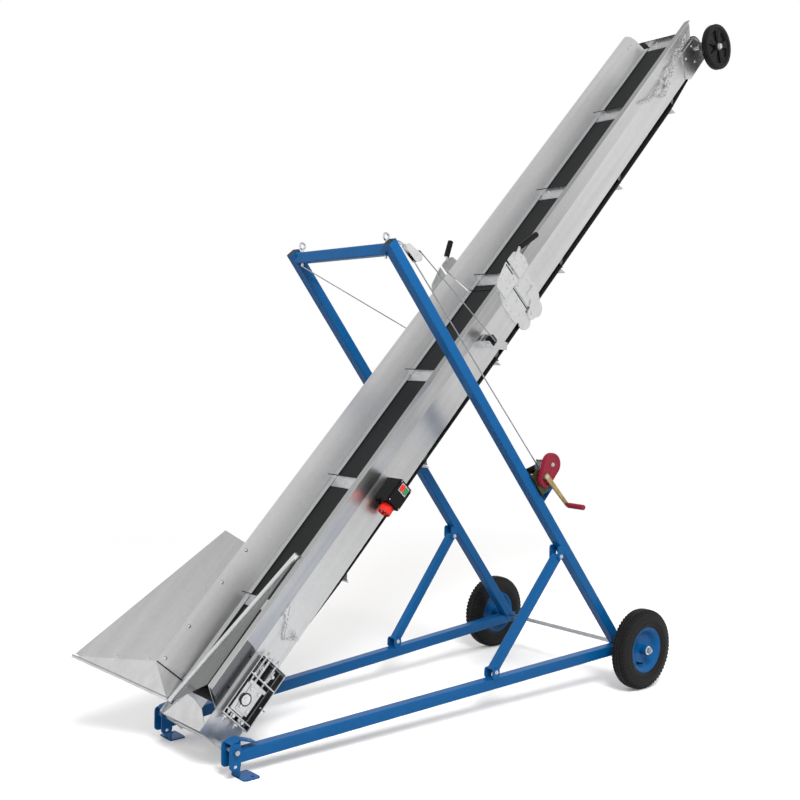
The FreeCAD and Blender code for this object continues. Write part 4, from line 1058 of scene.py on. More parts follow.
@dataclass
class RoadWheel:
    """Pneumatic road wheel: treaded tyre, dished steel rim and hub nut."""

    side: Side
    sizes: StandSizes = StandSizes()
    radius: float = 200.0
    width: float = 88.0
    rim_radius: float = 114.0
    bead_radius: float = 102.0
    groove: float = 5.5
    lugs: int = 60

    def build(self, palette: Palette) -> None:
        """Builds tyre, rim and nut.

        Args:
            palette: All finishes.
        """
        body = Body.WHEEL_LEFT if self.side is Side.LEFT else Body.WHEEL_RIGHT
        self.tyre(palette, body)
        self.rim(palette, body)
        nut = Mesher("axle_nut_" + self.side.word)
        axis = self.side.out
        place = self.middle() + axis * 42.0 * MM
        turned(nut, place, axis, ((0.0, 0.0), (0.0, 22.0), (3.0, 22.0), (3.0, 10.0)))
        bolt(nut, place + axis * 3.0 * MM, axis, 12.5, 14.0)
        nut.build(palette.bright, Body.STAND)

    def middle(self) -> Points:
        """Middle of the wheel."""
        return np.array([self.sizes.axle_x, self.side.value * self.sizes.tyre_y, self.radius]) * MM

    def tyre(self, palette: Palette, body: Body) -> None:
        """Tyre: a rounded profile carried round the axle, with grooves pressed into its tread.

        The radius is the profile's, less the groove depth where the zigzag ring grooves or the shoulder
        lugs' gaps run.
        """
        around, across = 480, 36
        turn = np.linspace(0.0, 2.0 * math.pi, around, endpoint=False)[:, None]
        crown = np.linspace(-1.0, 1.0, across)[None, :]
        zigzag = np.abs(((turn * self.lugs / (2 * math.pi)) % 1.0) - 0.5) * 4.0 - 1.0
        rings = np.maximum.reduce([self.stripe(crown - shift - 0.02 * zigzag, 0.035)
                                   for shift in (-0.3, 0.0, 0.3)])
        slant = (turn * self.lugs / (2 * math.pi) + 0.5 * np.abs(crown)) % 1.0
        gaps = self.stripe(slant - 0.5, 0.22) * (np.abs(crown) > 0.38)
        depth = self.groove * np.maximum(rings, gaps)
        half = self.width / 2
        place = half * 0.90 * np.sin(crown * math.pi / 2 * 0.96)
        radius = self.radius - 26.0 * np.abs(crown) ** 3.2 - depth
        tread = at(radius * np.cos(turn), place, radius * np.sin(turn))
        side = [(0.90, 172.0), (0.985, 160.0), (1.0, 150.0), (0.99, 141.0), (0.955, 140.0), (0.95, 136.0),
                (0.985, 135.0), (0.95, 126.0), (0.86, 119.0), (0.72, 112.0), (0.70, self.bead_radius)]
        place, radius = np.array(side).T
        place = half * place
        high = at(radius * np.cos(turn), place, radius * np.sin(turn))
        low = high[:, ::-1] * (1.0, -1.0, 1.0)
        mesher = Mesher("tyre_tread_" + self.side.word)
        mesher.grid(self.middle() + np.concatenate((low, tread, high), axis=1), close_u=True, close_v=True)
        mesher.build(palette.tyre, body, smooth=True, instead="tyre_" + self.side.word)

    def stripe(self, distance: Points, half_width: float) -> Points:
        """1 within half_width of zero, falling to 0 over a quarter more."""
        return np.clip((half_width * 1.25 - np.abs(distance)) / (half_width * 0.25), 0.0, 1.0)

    def rim(self, palette: Palette, body: Body) -> None:
        """Dished steel rim: a closed profile turned about the axle."""
        half = 35.0
        outer = [(half, self.rim_radius), (half - 3.0, self.rim_radius), (half - 5.0, self.bead_radius + 2.0),
                 (half - 16.0, self.bead_radius), (half - 24.0, self.bead_radius - 9.0)]
        dish = [(42.0, 10.6), (42.0, 21.0), (40.0, 23.0), (8.0, 24.0), (5.0, 27.0), (5.0, 72.0), (8.0, 79.0),
                (16.0, 84.0), (half - 7.0, self.bead_radius - 9.0), (half - 1.0, self.rim_radius - 8.0),
                (half + 0.5, self.rim_radius - 4.0)]
        front = dish + outer
        back = [(-p, r) for p, r in reversed(front)]
        mesher = Mesher("rim_steel_" + self.side.word)
        turned(mesher, self.middle(), self.side.out, front + back, 96, closed=True)
        mesher.build(palette.blue, body, smooth=True, instead="rim_" + self.side.word)
        valve = Mesher("valve_" + self.side.word)
        seat = self.middle() + np.array([-38.0, self.side.value * 5.0, -66.0]) * MM
        turned(valve, seat, (0.1, float(self.side.value), 0.1),
               ((0.0, 7.0), (6.0, 5.0), (24.0, 4.0), (24.0, 5.0), (32.0, 5.0), (33.0, 0.0)), 14)
        valve.build(palette.black, body, smooth=True)


@dataclass
class HeadWheel:
    """Small black wheel at the discharge end, with a closed web, broad spokes and a bright hub cap."""

    side: Side
    s: float = 4612.0
    y: float = 243.0
    n: float = -30.0
    radius: float = 125.0
    half_width: float = 19.0
    spokes: int = 5

    def build(self, palette: Palette) -> None:
        """Builds rim, spokes and hub.

        Args:
            palette: All finishes.
        """
        body = Body.HEAD_WHEEL_LEFT if self.side is Side.LEFT else Body.HEAD_WHEEL_RIGHT
        middle = TROUGH.place(self.s, self.side.value * self.y, self.n)
        axis = self.side.out
        mesher = Mesher("head_wheel_body_" + self.side.word)
        w, r = self.half_width, self.radius
        half = [(w - 7.0, r), (w - 3.0, r - 2.0), (w - 0.5, r - 9.0), (w - 0.5, r - 22.0),
                (w - 5.0, r - 25.0), (w - 5.0, r - 33.0), (8.0, r - 38.0)]
        ring_profile = [(0.0, r)] + half + [(-p, q) for p, q in reversed(half)]
        turned(mesher, middle, axis, ring_profile, 64, closed=True)
        hub = [(w, 10.5), (w, 24.0), (w - 4.0, 27.0), (4.0, 29.0)]
        turned(mesher, middle, axis, hub + [(-p, q) for p, q in reversed(hub)], 32, closed=True)
        web = [(2.5, 26.0), (2.5, r - 33.0), (-2.5, r - 33.0), (-2.5, 26.0)]
        turned(mesher, middle, axis, web, 48, closed=True)
        for count in range(self.spokes):
            self.spoke(mesher, middle, 2.0 * math.pi * count / self.spokes + 0.35)
        mesher.build(palette.black, body, smooth=True, instead="head_wheel_" + self.side.word)
        cap = Mesher("head_hub_cap_" + self.side.word)
        turned(cap, middle + axis * (w + 0.4) * MM, axis,
               ((0.0, 10.6), (0.0, 18.0), (2.0, 18.0), (4.0, 15.0), (9.0, 13.0), (9.5, 0.0)), 24)
        cap.build(palette.bright, Body.UPPER, smooth=True)

    def spoke(self, mesher: Mesher, middle: Points, turn: float) -> None:
        """Tapered spoke with a rib, from hub to rim."""
        out = np.array([math.cos(turn), 0.0, math.sin(turn)])
        across = np.array([-math.sin(turn), 0.0, math.cos(turn)])
        up = np.array([0.0, 1.0, 0.0])
        for half_y, near, far in ((12.0, 9.0, 25.0), (13.5, 5.0, 5.0)):
            rows = []
            for place, half in ((24.0, near), (self.radius - 34.0, far)):
                corners = [(-half, -half_y), (half, -half_y), (half, half_y), (-half, half_y)]
                rows.append(np.array([middle + MM * (place * out + a * across + b * up) for a, b in corners]))
            mesher.prism(rows[0], rows[1])


@dataclass
class Winch:
    """Hand winch on the right mast leg, and the block under the crossbar."""

    leg: LegFrame = LegFrame()
    share: float = 0.434
    block_share: float = 0.9455
    lift: float = 137.0
    cheek: float = 37.0
    gear: tuple[float, float] = (26.0, 146.0)
    handle: tuple[float, float] = (23.0, 68.0)
    lobe: tuple[float, float] = (-4.0, 73.0)
    gear_radius: float = 55.0
    lobe_radius: float = 38.0

    def length(self) -> float:
        """Length of the leg in millimetres."""
        return float(np.linalg.norm(self.leg.sizes.mast(-1, 1.0) - self.leg.sizes.mast(-1, 0.0)) / MM)

    def disc(self, mesher: Mesher, along: float, across: float, lift: float,
             profile: Profile, sides: int = 40) -> None:
        """Turned form about an axis across the leg; the profile's places point outwards."""
        out = self.leg.axes()[1]
        turned(mesher, self.leg.place(along, across, lift), out, profile, sides)

    def build(self, palette: Palette) -> None:
        """Builds cover, crank, frame, wound rope and block.

        Args:
            palette: All finishes.
        """
        middle = self.length() * self.share
        self.cover(palette, middle)
        self.crank(palette, middle)
        self.frame(palette, middle)
        self.drum(palette, middle)
        self.block(palette, self.length() * self.block_share)

    def cover(self, palette: Palette, middle: float) -> None:
        """Gear cover: the outline round two circles, in shrinking layers."""
        mesher = Mesher("winch_gear_cover")
        base, crank = np.array(self.gear), np.array(self.lobe)
        turn = np.linspace(0.0, 2.0 * math.pi, 96, endpoint=False)
        ray = np.stack((np.sin(turn), np.cos(turn)), 1)
        centre = base * 0.6 + crank * 0.4
        layers = []
        steps = ((0.0, 0.0), (18.0, 0.0), (22.5, 2.0), (24.0, 6.0), (24.0, 12.0), (22.0, 13.0), (22.0, 60.0))
        for rise, inset in steps:
            place = self.cheek + rise
            circles = []
            for share in np.linspace(0.0, 1.0, 7):
                radius = self.gear_radius + share * (self.lobe_radius - self.gear_radius) - inset
                circles.append(self.reach(ray, base + share * (crank - base) - centre, max(radius, 1.0)))
            reach = np.maximum(np.maximum.reduce(circles), 0.5)
            flat = centre + ray * reach[:, None]
            layers.append(self.leg.place(middle + flat[:, 0], place, flat[:, 1]))
        mesher.grid(np.stack(layers), close_v=True)
        mesher.build(palette.red, Body.STAND, smooth=True, instead="winch_cover")
        bolts = Mesher("winch_cover_bolts")
        out = self.leg.axes()[1]
        bolt(bolts, self.leg.place(middle + self.gear[0], self.cheek + 21.5, self.gear[1]), out, 8.0, 7.0)
        nut = self.leg.place(middle + self.handle[0], self.cheek + 36.0, self.handle[1])
        bolt(bolts, nut, out, 11.0, 13.0)
        bolts.build(palette.bright, Body.STAND)

    def reach(self, ray: Points, middle: Points, radius: float) -> Points:
        """Distance along each ray from the origin to the far side of a circle, or 0 where it misses."""
        along = ray @ middle
        inside = along ** 2 - middle @ middle + radius ** 2
        return np.where(inside > 0, along + np.sqrt(np.maximum(inside, 0.0)), 0.0)

    def crank(self, palette: Palette, middle: float) -> None:
        """Cranked flat arm and a ribbed grip."""
        start, axis_lift = middle + self.handle[0], self.handle[1]
        low, high = self.cheek + 36.0, self.cheek + 44.0
        arm = Mesher("winch_crank_arm")
        stations = ((14.0, 9.0), (6.0, 13.0), (-40.0, 12.0), (-120.0, 10.0), (-208.0, 9.0), (-216.0, 5.0))
        along, half = np.array(stations).T[:, :, None]
        rows = self.leg.place(start + along, np.array([low, high, high, low]),
                              axis_lift - 0.12 * along + half * np.array([-1.0, -1.0, 1.0, 1.0]))
        arm.grid(rows, close_v=True)
        arm.add(np.vstack((rows[0], rows[-1])), np.array([[3, 2, 1, 0], [4, 5, 6, 7]]))
        turned(arm, self.leg.place(start, self.cheek + 24.0, axis_lift), self.leg.axes()[1],
               ((0.0, 0.0), (0.0, 10.0), (12.0, 10.0), (12.0, 0.0)), 20)
        arm.build(palette.yellow_zinc, Body.STAND)
        grip = Mesher("winch_crank_grip")
        ribs = [(6.0, 0.0), (6.0, 11.0)]
        ribs += [(10.0 + step * 4.0, 12.6 + 0.5 * math.cos(step * math.pi)) for step in range(22)]
        ribs += [(101.0, 13.0), (105.0, 10.0), (106.0, 0.0)]
        self.disc(grip, start - 206.0, self.cheek + 38.0, axis_lift + 25.0, ribs, 24)
        grip.build(palette.red, Body.STAND, smooth=True, instead="winch_crank")

    def frame(self, palette: Palette, middle: float) -> None:
        """Cheeks on a foot plate, with their bolts and tie bars, and the strut below."""
        out, off = self.leg.axes()[1], self.leg.axes()[2]
        bolts = Mesher("winch_frame_bolts")
        for along in (-55.0, 55.0):
            for across in (-26.0, 26.0):
                bolt(bolts, self.leg.place(middle + along, across, 30.0), off, 7.0, 8.0)
        for along, lift in ((-38.0, 60.0), (38.0, 60.0), (-38.0, 150.0), (38.0, 150.0)):
            bolt(bolts, self.leg.place(middle + along, -self.cheek, lift), -out, 6.0, 6.0)
        bolts.build(palette.bright, Body.STAND)
        cheeks = Mesher("winch_cheeks")
        outline = rounded_outline([(-62.0, 20.0), (60.0, 20.0), (60.0, 64.0), (24.0, 150.0), (-24.0, 160.0),
                                   (-62.0, 90.0)], 8.0, 5) + (middle, 0.0)
        for low in (-self.cheek, self.cheek - 5.0):
            cheeks.plate(self.leg.place, outline, low, low + 5.0)
        cheeks.plate(self.leg.place, rectangle((middle - 62.0, 20.0), (middle + 62.0, 25.0)), -self.cheek,
                     self.cheek)
        cheeks.build(palette.olive_zinc, Body.STAND, instead="winch_frame")
        bars = Mesher("winch_tie_bars")
        for along in (-38.0, 38.0):
            turned(bars, self.leg.place(middle + along, -self.cheek + 5.0, 150.0), out,
                   [(0.0, 5.0), (2 * (self.cheek - 5.0), 5.0)], 12)
        bars.build(palette.olive_zinc, Body.STAND)
        strut = Mesher("winch_strut")
        for ends in (((-112.0, 0.0), (-92.0, 134.0)), ((-63.0, 2.0), (-97.0, 100.0))):
            low, high = np.array(ends) + (middle, 0.0)
            half = np.array([3.0, 0.0])
            strut.plate(self.leg.place, [low - half, low + half, high + half, high - half], -16.0, 16.0)
        strut.build(palette.blue, Body.STAND)

    def drum(self, palette: Palette, middle: float) -> None:
        """Wound rope: a helix on a flanged drum."""
        turns, steps, coil = 9.0, 24, 41.0
        phase = np.linspace(0.0, turns * 2.0 * math.pi, int(turns * steps))
        reach = self.cheek - 10.0
        across = np.linspace(-reach, reach, len(phase))
        path = self.leg.place(middle + coil * np.cos(phase), across, self.lift + coil * np.sin(phase))
        rope = Mesher("winch_rope_coils")
        flange = [(0.0, 0.0), (0.0, coil), (3.0, coil), (3.0, 0.0)]
        for place in (-reach - 4.0, reach + 1.0):
            self.disc(rope, middle, place, self.lift, flange)
        barrel = [(0.0, 0.0), (0.0, coil - 2.0), (2.0 * reach, coil - 2.0), (2.0 * reach, 0.0)]
        self.disc(rope, middle, -reach, self.lift, barrel)
        tube(rope, path, 0.003, 8)
        rope.build(palette.wire, Body.STAND, smooth=True)

    def block(self, palette: Palette, middle: float) -> None:
        """Top block: two cheeks, grooved sheave, pin, and a shackle to the eyebolt."""
        mesher = Mesher("top_block_cheeks")
        outline = rounded_outline([(-22.0, 66.0), (74.0, 52.0), (78.0, 78.0), (-16.0, 114.0)], 16.0, 8)
        for low in (-14.0, 11.0):
            mesher.plate(self.leg.place, outline + (middle, 0.0), low, low + 3.0)
        pin = [(0.0, 0.0), (0.0, 9.0), (4.0, 9.0), (4.0, 6.0), (32.0, 6.0), (32.0, 9.0), (36.0, 9.0),
               (36.0, 0.0)]
        self.disc(mesher, middle, -18.0, 90.0, pin, 20)
        along, across, lift = np.array([(70.0, -9.0, 64.0), (104.0, -10.0, 44.0), (116.0, 0.0, 36.0),
                                        (104.0, 10.0, 44.0), (70.0, 9.0, 64.0)]).T
        tube(mesher, self.leg.place(middle + along, across, lift), 0.0035, 8)
        mesher.build(palette.bright, Body.STAND, instead="top_block")
        sheave = Mesher("top_block_sheave")
        groove = [(0.0, 6.1), (0.0, 24.0), (2.0, 24.0), (9.0, 18.0), (16.0, 24.0), (18.0, 24.0), (18.0, 6.1)]
        self.disc(sheave, middle, -9.0, 90.0, groove, 40)
        sheave.build(palette.black, Body.STAND, smooth=True)


@dataclass(frozen=True)
class Wall:
    """Section of the trough and the places of its fold, its head and its flights, in millimetres."""

    foot_half: float = 156.0
    half: float = 207.0
    foot_n: float = 96.0
    top_n: float = 225.0
    gauge: float = 2.5
    fold_s: float = 2494.0
    head_s: float = 4549.0
    pitch: float = 663.0

    def inner(self, n: float) -> float:
        """Half width between the walls' inner faces at height n."""
        return self.foot_half + (n - self.foot_n) * (self.half - self.foot_half) / (self.top_n - self.foot_n)

    def outer(self, n: float) -> float:
        """Half width over the walls' outer faces at height n."""
        run = self.top_n - 2 * self.gauge - self.foot_n
        return self.foot_half + self.gauge + max(n - self.foot_n, 0.0) * (self.half - self.foot_half) / run

    def out_of(self, side: int) -> Points:
        """Direction square off a wall's outer face."""
        lean = math.atan2(self.half - self.foot_half, self.top_n - self.foot_n)
        up = TROUGH.place(0.0, 0.0, 1000.0) - TROUGH.place(0.0, 0.0, 0.0)
        return np.array([0.0, side * math.cos(lean), 0.0]) - math.sin(lean) * up


WALL = Wall()
SLOPE_UP = TROUGH.place(1000.0, 0.0, 0.0) - TROUGH.place(0.0, 0.0, 0.0)
SLOPE_OFF = TROUGH.place(0.0, 0.0, 1000.0) - TROUGH.place(0.0, 0.0, 0.0)


def dome(mesher: Mesher, s: float, y: float, n: float, axis: Points, radius: float = 6.0) -> None:
    """Adds a dome-headed bolt at a place of the trough."""
    bolt(mesher, TROUGH.place(s, y, n), axis, radius, radius * 0.7, 12)


def domes(mesher: Mesher, side: Side, base_s: float, y: float, places: Profile,
          radius: float) -> None:
    """Adds dome-headed bolts on an upright face of the trough.

    Args:
        mesher: Piece to add to.
        side: Side that they face.
        base_s: Distance up the trough that the places count from.
        y: The face's distance off the middle plane.
        places: Pairs of s, from base_s, and n.
        radius: Radius of the heads.
    """
    for s, n in places:
        dome(mesher, base_s + s, side.value * y, n, side.out, radius)


def slope_box(mesher: Mesher, low: tuple[float, float, float], high: tuple[float, float, float],
              edge: float = 1.5) -> None:
    """Adds a box of the trough's frame with rounded upright edges.

    Args:
        mesher: Piece to add to.
        low: Low corner as s, y, n.
        high: High corner.
        edge: Radius of the edges along y.
    """
    outline = rounded_outline(rectangle((low[0], low[2]), (high[0], high[2])), edge)
    slope_plate(mesher, outline, low[1], high[1] - low[1])


@dataclass
class TroughTrim:
    """Ledge strips, flight rivets, the curved guard of the right wall and the guide bar's sleeve."""

    start_s: float = 140.0
    first: float = 576.0
    belt_n: float = 89.5

    def build(self, palette: Palette) -> None:
        """Builds the trim of both sections.

        Args:
            palette: All finishes.
        """
        for body, start, end in ((Body.LOWER, self.start_s, WALL.fold_s - 4.0),
                                 (Body.UPPER, WALL.fold_s + 4.0, WALL.head_s - 3.0)):
            self.ledges(palette, body, start, end)
        self.rivets(palette, Body.LOWER, range(3))
        self.rivets(palette, Body.UPPER, range(3, 7))
        self.guard(palette)
        self.sleeve(palette)
        self.guard_bolts(palette)

    def ledges(self, palette: Palette, body: Body, start: float, end: float) -> None:
        """Bright strips over the belt's edges, bent down towards the belt, with a thin black strip below."""
        word = "lower" if body is Body.LOWER else "upper"
        strip, dark_strip = Mesher("ledge_strips_" + word), Mesher("ledge_dark_strips_" + word)
        places = np.array([start, end])
        for side in Side:
            profile = [(150.0, 96.3), (152.0, 98.0), (134.0, 98.4), (129.0, 97.6), (127.0, 95.0),
                       (125.6, 95.4), (127.0, 96.2)]
            self.strip(strip, profile, places, side.value)
            self.strip(dark_strip, [(124.0, 90.0), (122.5, 93.5), (124.3, 93.6), (126.0, 90.0)], places, side.value)
        strip.build(palette.pale, body)
        dark_strip.build(palette.black, body)

    def strip(self, mesher: Mesher, profile: Profile, places: Points, side: int) -> None:
        """Prism along s from a profile in y and n."""
        shape = np.asarray(profile, float)
        rows = [TROUGH.place(s, side * shape[:, 0], shape[:, 1]) for s in places]
        mesher.prism(rows[0], rows[1])

    def rivets(self, palette: Palette, body: Body, counts: range) -> None:
        """Rivets through the flights' feet and faces, and a thin black strip along each flight's top edge."""
        word = "lower" if body is Body.LOWER else "upper"
        rivet, edge = Mesher("flight_rivets_" + word), Mesher("flight_edges_" + word)
        for count in counts:
            s = self.first + count * WALL.pitch
            for y in (-84.0, 0.0, 84.0):
                dome(rivet, s + 16.0, y, self.belt_n + 4.0, SLOPE_OFF, 7.0)
            for y in (-60.0, 60.0):
                dome(rivet, s, y, self.belt_n + 24.0, -SLOPE_UP, 6.0)
            low, high = self.belt_n + 44.0, self.belt_n + 47.5
            slope_plate(edge, rectangle((s + 0.5, low), (s + 3.5, high)), -134.0, 268.0)
        rivet.build(palette.bright, body, smooth=True)
        edge.build(palette.black, body)

    def guard(self, palette: Palette) -> None:
        """Quarter-round guard bulging off the right wall's outer face above the tensioner.

        The sheet stands off the wall by a half sine over the wall's height.
        """
        n = np.linspace(100.0, 212.0, 15)
        share = (n - n[0]) / (n[-1] - n[0])
        bulge = 14.0 * np.sin(share * math.pi)
        y = -(np.array([WALL.outer(v) for v in n]) + 0.4 + bulge)
        low, high = 100.0 + 34.0 * share, np.full(len(n), 364.0)
        rows = [TROUGH.place(low + (high - low) * t, y, n) for t in np.linspace(0.0, 1.0, 7)]
        inner = [TROUGH.place(low + (high - low) * t, y + 1.5, n) for t in np.linspace(0.0, 1.0, 7)]
        mesher = Mesher("wall_guard")
        outline = [np.concatenate((a, b[::-1])) for a, b in zip(rows, inner)]
        mesher.grid(np.stack(outline), close_v=True)
        count = len(n)
        index = np.arange(count - 1)
        cap = np.stack((index, index + 1, 2 * count - 2 - index, 2 * count - 1 - index), 1)
        for row in (outline[0], outline[-1]):
            mesher.add(row, cap)
        mesher.build(palette.guard, Body.LOWER, smooth=True)

    def sleeve(self, palette: Palette) -> None:
        """Pale sleeve over the guide bar, from the hopper's foot to the right wall's top."""
        mesher = Mesher("guide_rail")
        ends = TROUGH.place(np.array([44.0, 756.0]), np.array([140.0, -204.0]), np.array([97.0, 242.0]))
        tube(mesher, np.linspace(ends[0], ends[1], 3), 0.0125, 16)
        mesher.build(palette.pale, Body.LOWER, smooth=True)

    def guard_bolts(self, palette: Palette) -> None:
        """Two small dark bolts on the guard."""
        mesher = Mesher("wall_guard_bolts")
        for s in (186.0, 330.0):
            dome(mesher, s, -(WALL.outer(120.0) + 9.5), 120.0, WALL.out_of(-1), 5.0)
        mesher.build(palette.black, Body.LOWER, smooth=True)


@dataclass
class Tensioners:
    """Belt tensioner details: sliding blocks, screws, nuts and cross bars in their channels, with the shade
    in the channels painted as a thin black sheet.
    """

    drum_s: float = 190.0
    drum_n: float = 28.5
    low_s: float = 97.0
    high_s: float = 370.0

    def build(self, palette: Palette) -> None:
        """Builds the details of both channels.

        Args:
            palette: All finishes.
        """
        bright, dark = Mesher("tensioner_screws"), Mesher("tensioner_recess_shade")
        sheet = Mesher("tensioner_blocks")
        for side in Side:
            wall = WALL.foot_half + WALL.gauge
            # painted shade: a thin black sheet flat on the wall, behind the blocks, stands for the shade in
            # the channel's recess
            self.plate(dark, side, (103.0, -61.0), (364.0, 84.0), wall + 3.2, wall + 4.4)
            self.plate(sheet, side, (140.0, -22.0), (252.0, 46.0), wall + 33.0, wall + 36.0)
            self.plate(sheet, side, (252.0, -40.0), (266.0, 60.0), wall + 10.0, wall + 30.0)
            self.plate(sheet, side, (300.0, -30.0), (352.0, -6.0), wall + 4.0, wall + 16.0)
            self.plate(sheet, side, (300.0, 30.0), (346.0, 58.0), wall + 4.0, wall + 12.0)
            for s, n, radius in ((158.0, 34.0, 8.0), (238.0, 36.0, 8.0), (158.0, -10.0, 8.0),
                                 (238.0, -10.0, 8.0), (112.0, 34.0, 9.0), (112.0, -20.0, 9.0),
                                 (326.0, -18.0, 8.0), (324.0, 44.0, 8.0)):
                bolt(bright, TROUGH.place(s, side.value * (wall + 30.0), n), side.out, radius, 12.0)
            rod = TROUGH.place(206.0, side.value * (wall + 24.0), -58.0)
            tube(bright, np.array([rod, rod - SLOPE_OFF * 0.034]), 0.0045, 8)
            self.plate(sheet, side, (283.0, -62.0), (288.0, 86.0), wall + 4.0, wall + 42.0)
            self.plate(sheet, side, (120.0, -62.0), (125.0, 86.0), wall + 4.0, wall + 38.0)
            for n in (self.drum_n + 26.0, self.drum_n - 40.0):
                self.screw(bright, side, n, wall + 22.0)
            place = TROUGH.place(self.drum_s, side.value * (wall + 36.0), self.drum_n)
            cap = ((0.0, 0.0), (0.0, 21.0), (4.0, 21.0), (4.0, 12.0), (9.0, 11.0), (9.0, 0.0))
            turned(bright, place, side.out, cap, 24)
            # thin black ring round the drum cap, in the same dark piece
            turned(dark, place, side.out, rectangle((0.2, 22.0), (2.4, 27.0)), 24, closed=True)
        bright.build(palette.bright, Body.LOWER, smooth=True)
        dark.build(palette.black, Body.LOWER)
        sheet.build(palette.sheet, Body.LOWER)

    def plate(self, mesher: Mesher, side: Side, low: tuple[float, float], high: tuple[float, float],
              near: float, far: float) -> None:
        """Box from s and n corners, between two distances off the centre plane."""
        first, last = sorted((side.value * near, side.value * far))
        slope_box(mesher, (low[0], first, low[1]), (high[0], last, high[1]))

    def screw(self, mesher: Mesher, side: Side, n: float, y: float) -> None:
        """Threaded rod with nuts: the thread is a ripple of the radius along it."""
        run = np.arange(self.low_s - 22.0, self.high_s + 26.0, 1.5)
        ripple = 6.0 + 0.45 * np.cos(run * 2.0 * math.pi / 3.0)
        start = TROUGH.place(0.0, side.value * y, n)
        profile = [(run[0], 0.0), *zip(run, ripple), (run[-1], 0.0)]
        turned(mesher, start, SLOPE_UP, profile, 12)
        for s, way in ((self.low_s - 8.0, 1.0), (119.0, -1.0), (289.0, 1.0), (self.high_s + 1.0, 1.0)):
            bolt(mesher, TROUGH.place(s, side.value * y, n), way * SLOPE_UP, 10.0, 8.0)


def chain(mesher: Mesher, start: Points, end: Points, off: Points, links: int) -> None:
    """Adds a chain of oval links, each turned a quarter about the run from the last.

    Args:
        mesher: Piece to add to.
        start: Start of the run, in metres.
        end: End of the run.
        off: Direction that every other link lies flat in.
        links: Number of links.
    """
    wire, half_width, overlap = 0.0024, 0.0075, 0.68
    run = end - start
    ahead = run / np.linalg.norm(run)
    across = np.cross(off, ahead)
    half_length = np.linalg.norm(run) / links * overlap
    loop = arc(1.0, 0.0, 360.0, 17)[:-1]
    for count in range(links):
        middle = start + run * (count + 0.5) / links
        flat = across if count % 2 == 0 else off
        oval = loop[:, :1] * half_length * ahead + loop[:, 1:] * half_width * flat
        tube(mesher, middle + oval, wire, 6, closed=True)


@dataclass
class FeedTrim:
    """Bolts and joint line of the feed hopper, and the snap hook with its chain on the right wall."""

    wall_end_s: float = 136.0
    edge_n: float = 227.0
    wide: tuple[float, float, float] = (-31.0, 436.0, 425.6)
    narrow: tuple[float, float, float] = (759.0, 287.0, 296.0)

    def build(self, palette: Palette) -> None:
        """Builds the bolts, the joint line, the hook and its chain.

        Args:
            palette: All finishes.
        """
        bolts = Mesher("hopper_bolts")
        inward = -WALL.out_of(1)
        for s in (168.0, 330.0, 560.0, 735.0):
            dome(bolts, s, WALL.inner(205.0) - 3.0, 205.0, inward, 8.5)
        corner = np.array([self.wall_end_s, WALL.inner(self.edge_n), self.edge_n])
        wide = np.array(self.wide)
        normal = np.cross(np.array(self.narrow) - wide, corner - wide)
        normal /= -np.linalg.norm(normal) * np.sign(normal[2])
        lifted = -normal
        axis = lifted[0] * SLOPE_UP + np.array([0.0, lifted[1], 0.0]) + lifted[2] * SLOPE_OFF
        for share in (0.12, 0.52, 0.90):
            place = wide + share * (corner - wide) + np.array([10.0, 0.0, 0.0]) + 3.0 * lifted
            dome(bolts, *place, axis, 5.0)
        for share in (0.25, 0.5, 0.75):
            place = corner + share * (np.array([759.0, corner[1], self.edge_n]) - corner) + 3.0 * lifted
            dome(bolts, *(place + 14.0 * (np.array(self.narrow) - place) / 90.0), axis, 5.0)
        bolts.build(palette.bright, Body.LOWER, smooth=True)
        gap = Mesher("hopper_gap_lines")
        n = np.array([100.0, 224.0])
        joint = TROUGH.place(self.wall_end_s + 3.0, WALL.inner(n) - 1.6, n)
        tube(gap, np.linspace(joint[0], joint[1], 3), 0.0028, 6)
        gap.build(palette.black, Body.LOWER)
        self.hook(palette)

    def hook(self, palette: Palette) -> None:
        """Snap hook on the right wall's outer face, with short runs of chain below it."""
        mesher = Mesher("snap_hook_chain")
        off = WALL.out_of(-1)
        start = TROUGH.place(573.0, -WALL.outer(86.0), 86.0) + off * 0.007
        end = TROUGH.place(480.0, -WALL.outer(30.0), 30.0) + off * 0.008
        loop = arc(1.0, 0.0, 345.0, 24)
        ahead = (end - start) / np.linalg.norm(end - start)
        across = np.cross(off, ahead)
        tube(mesher, start + (loop[:, :1] * 0.026) * ahead + (loop[:, 1:] * 0.013) * across, 0.0032, 8)
        chain(mesher, start + ahead * 0.020, end, off, 6)
        low = TROUGH.place(515.0, -WALL.outer(-35.0), -35.0) + off * 0.008
        chain(mesher, end, low, off, 4)
        chain(mesher, low, TROUGH.place(528.0, -WALL.outer(10.0), 10.0) + off * 0.012, off, 3)
        mesher.build(palette.bright, Body.LOWER, smooth=True)


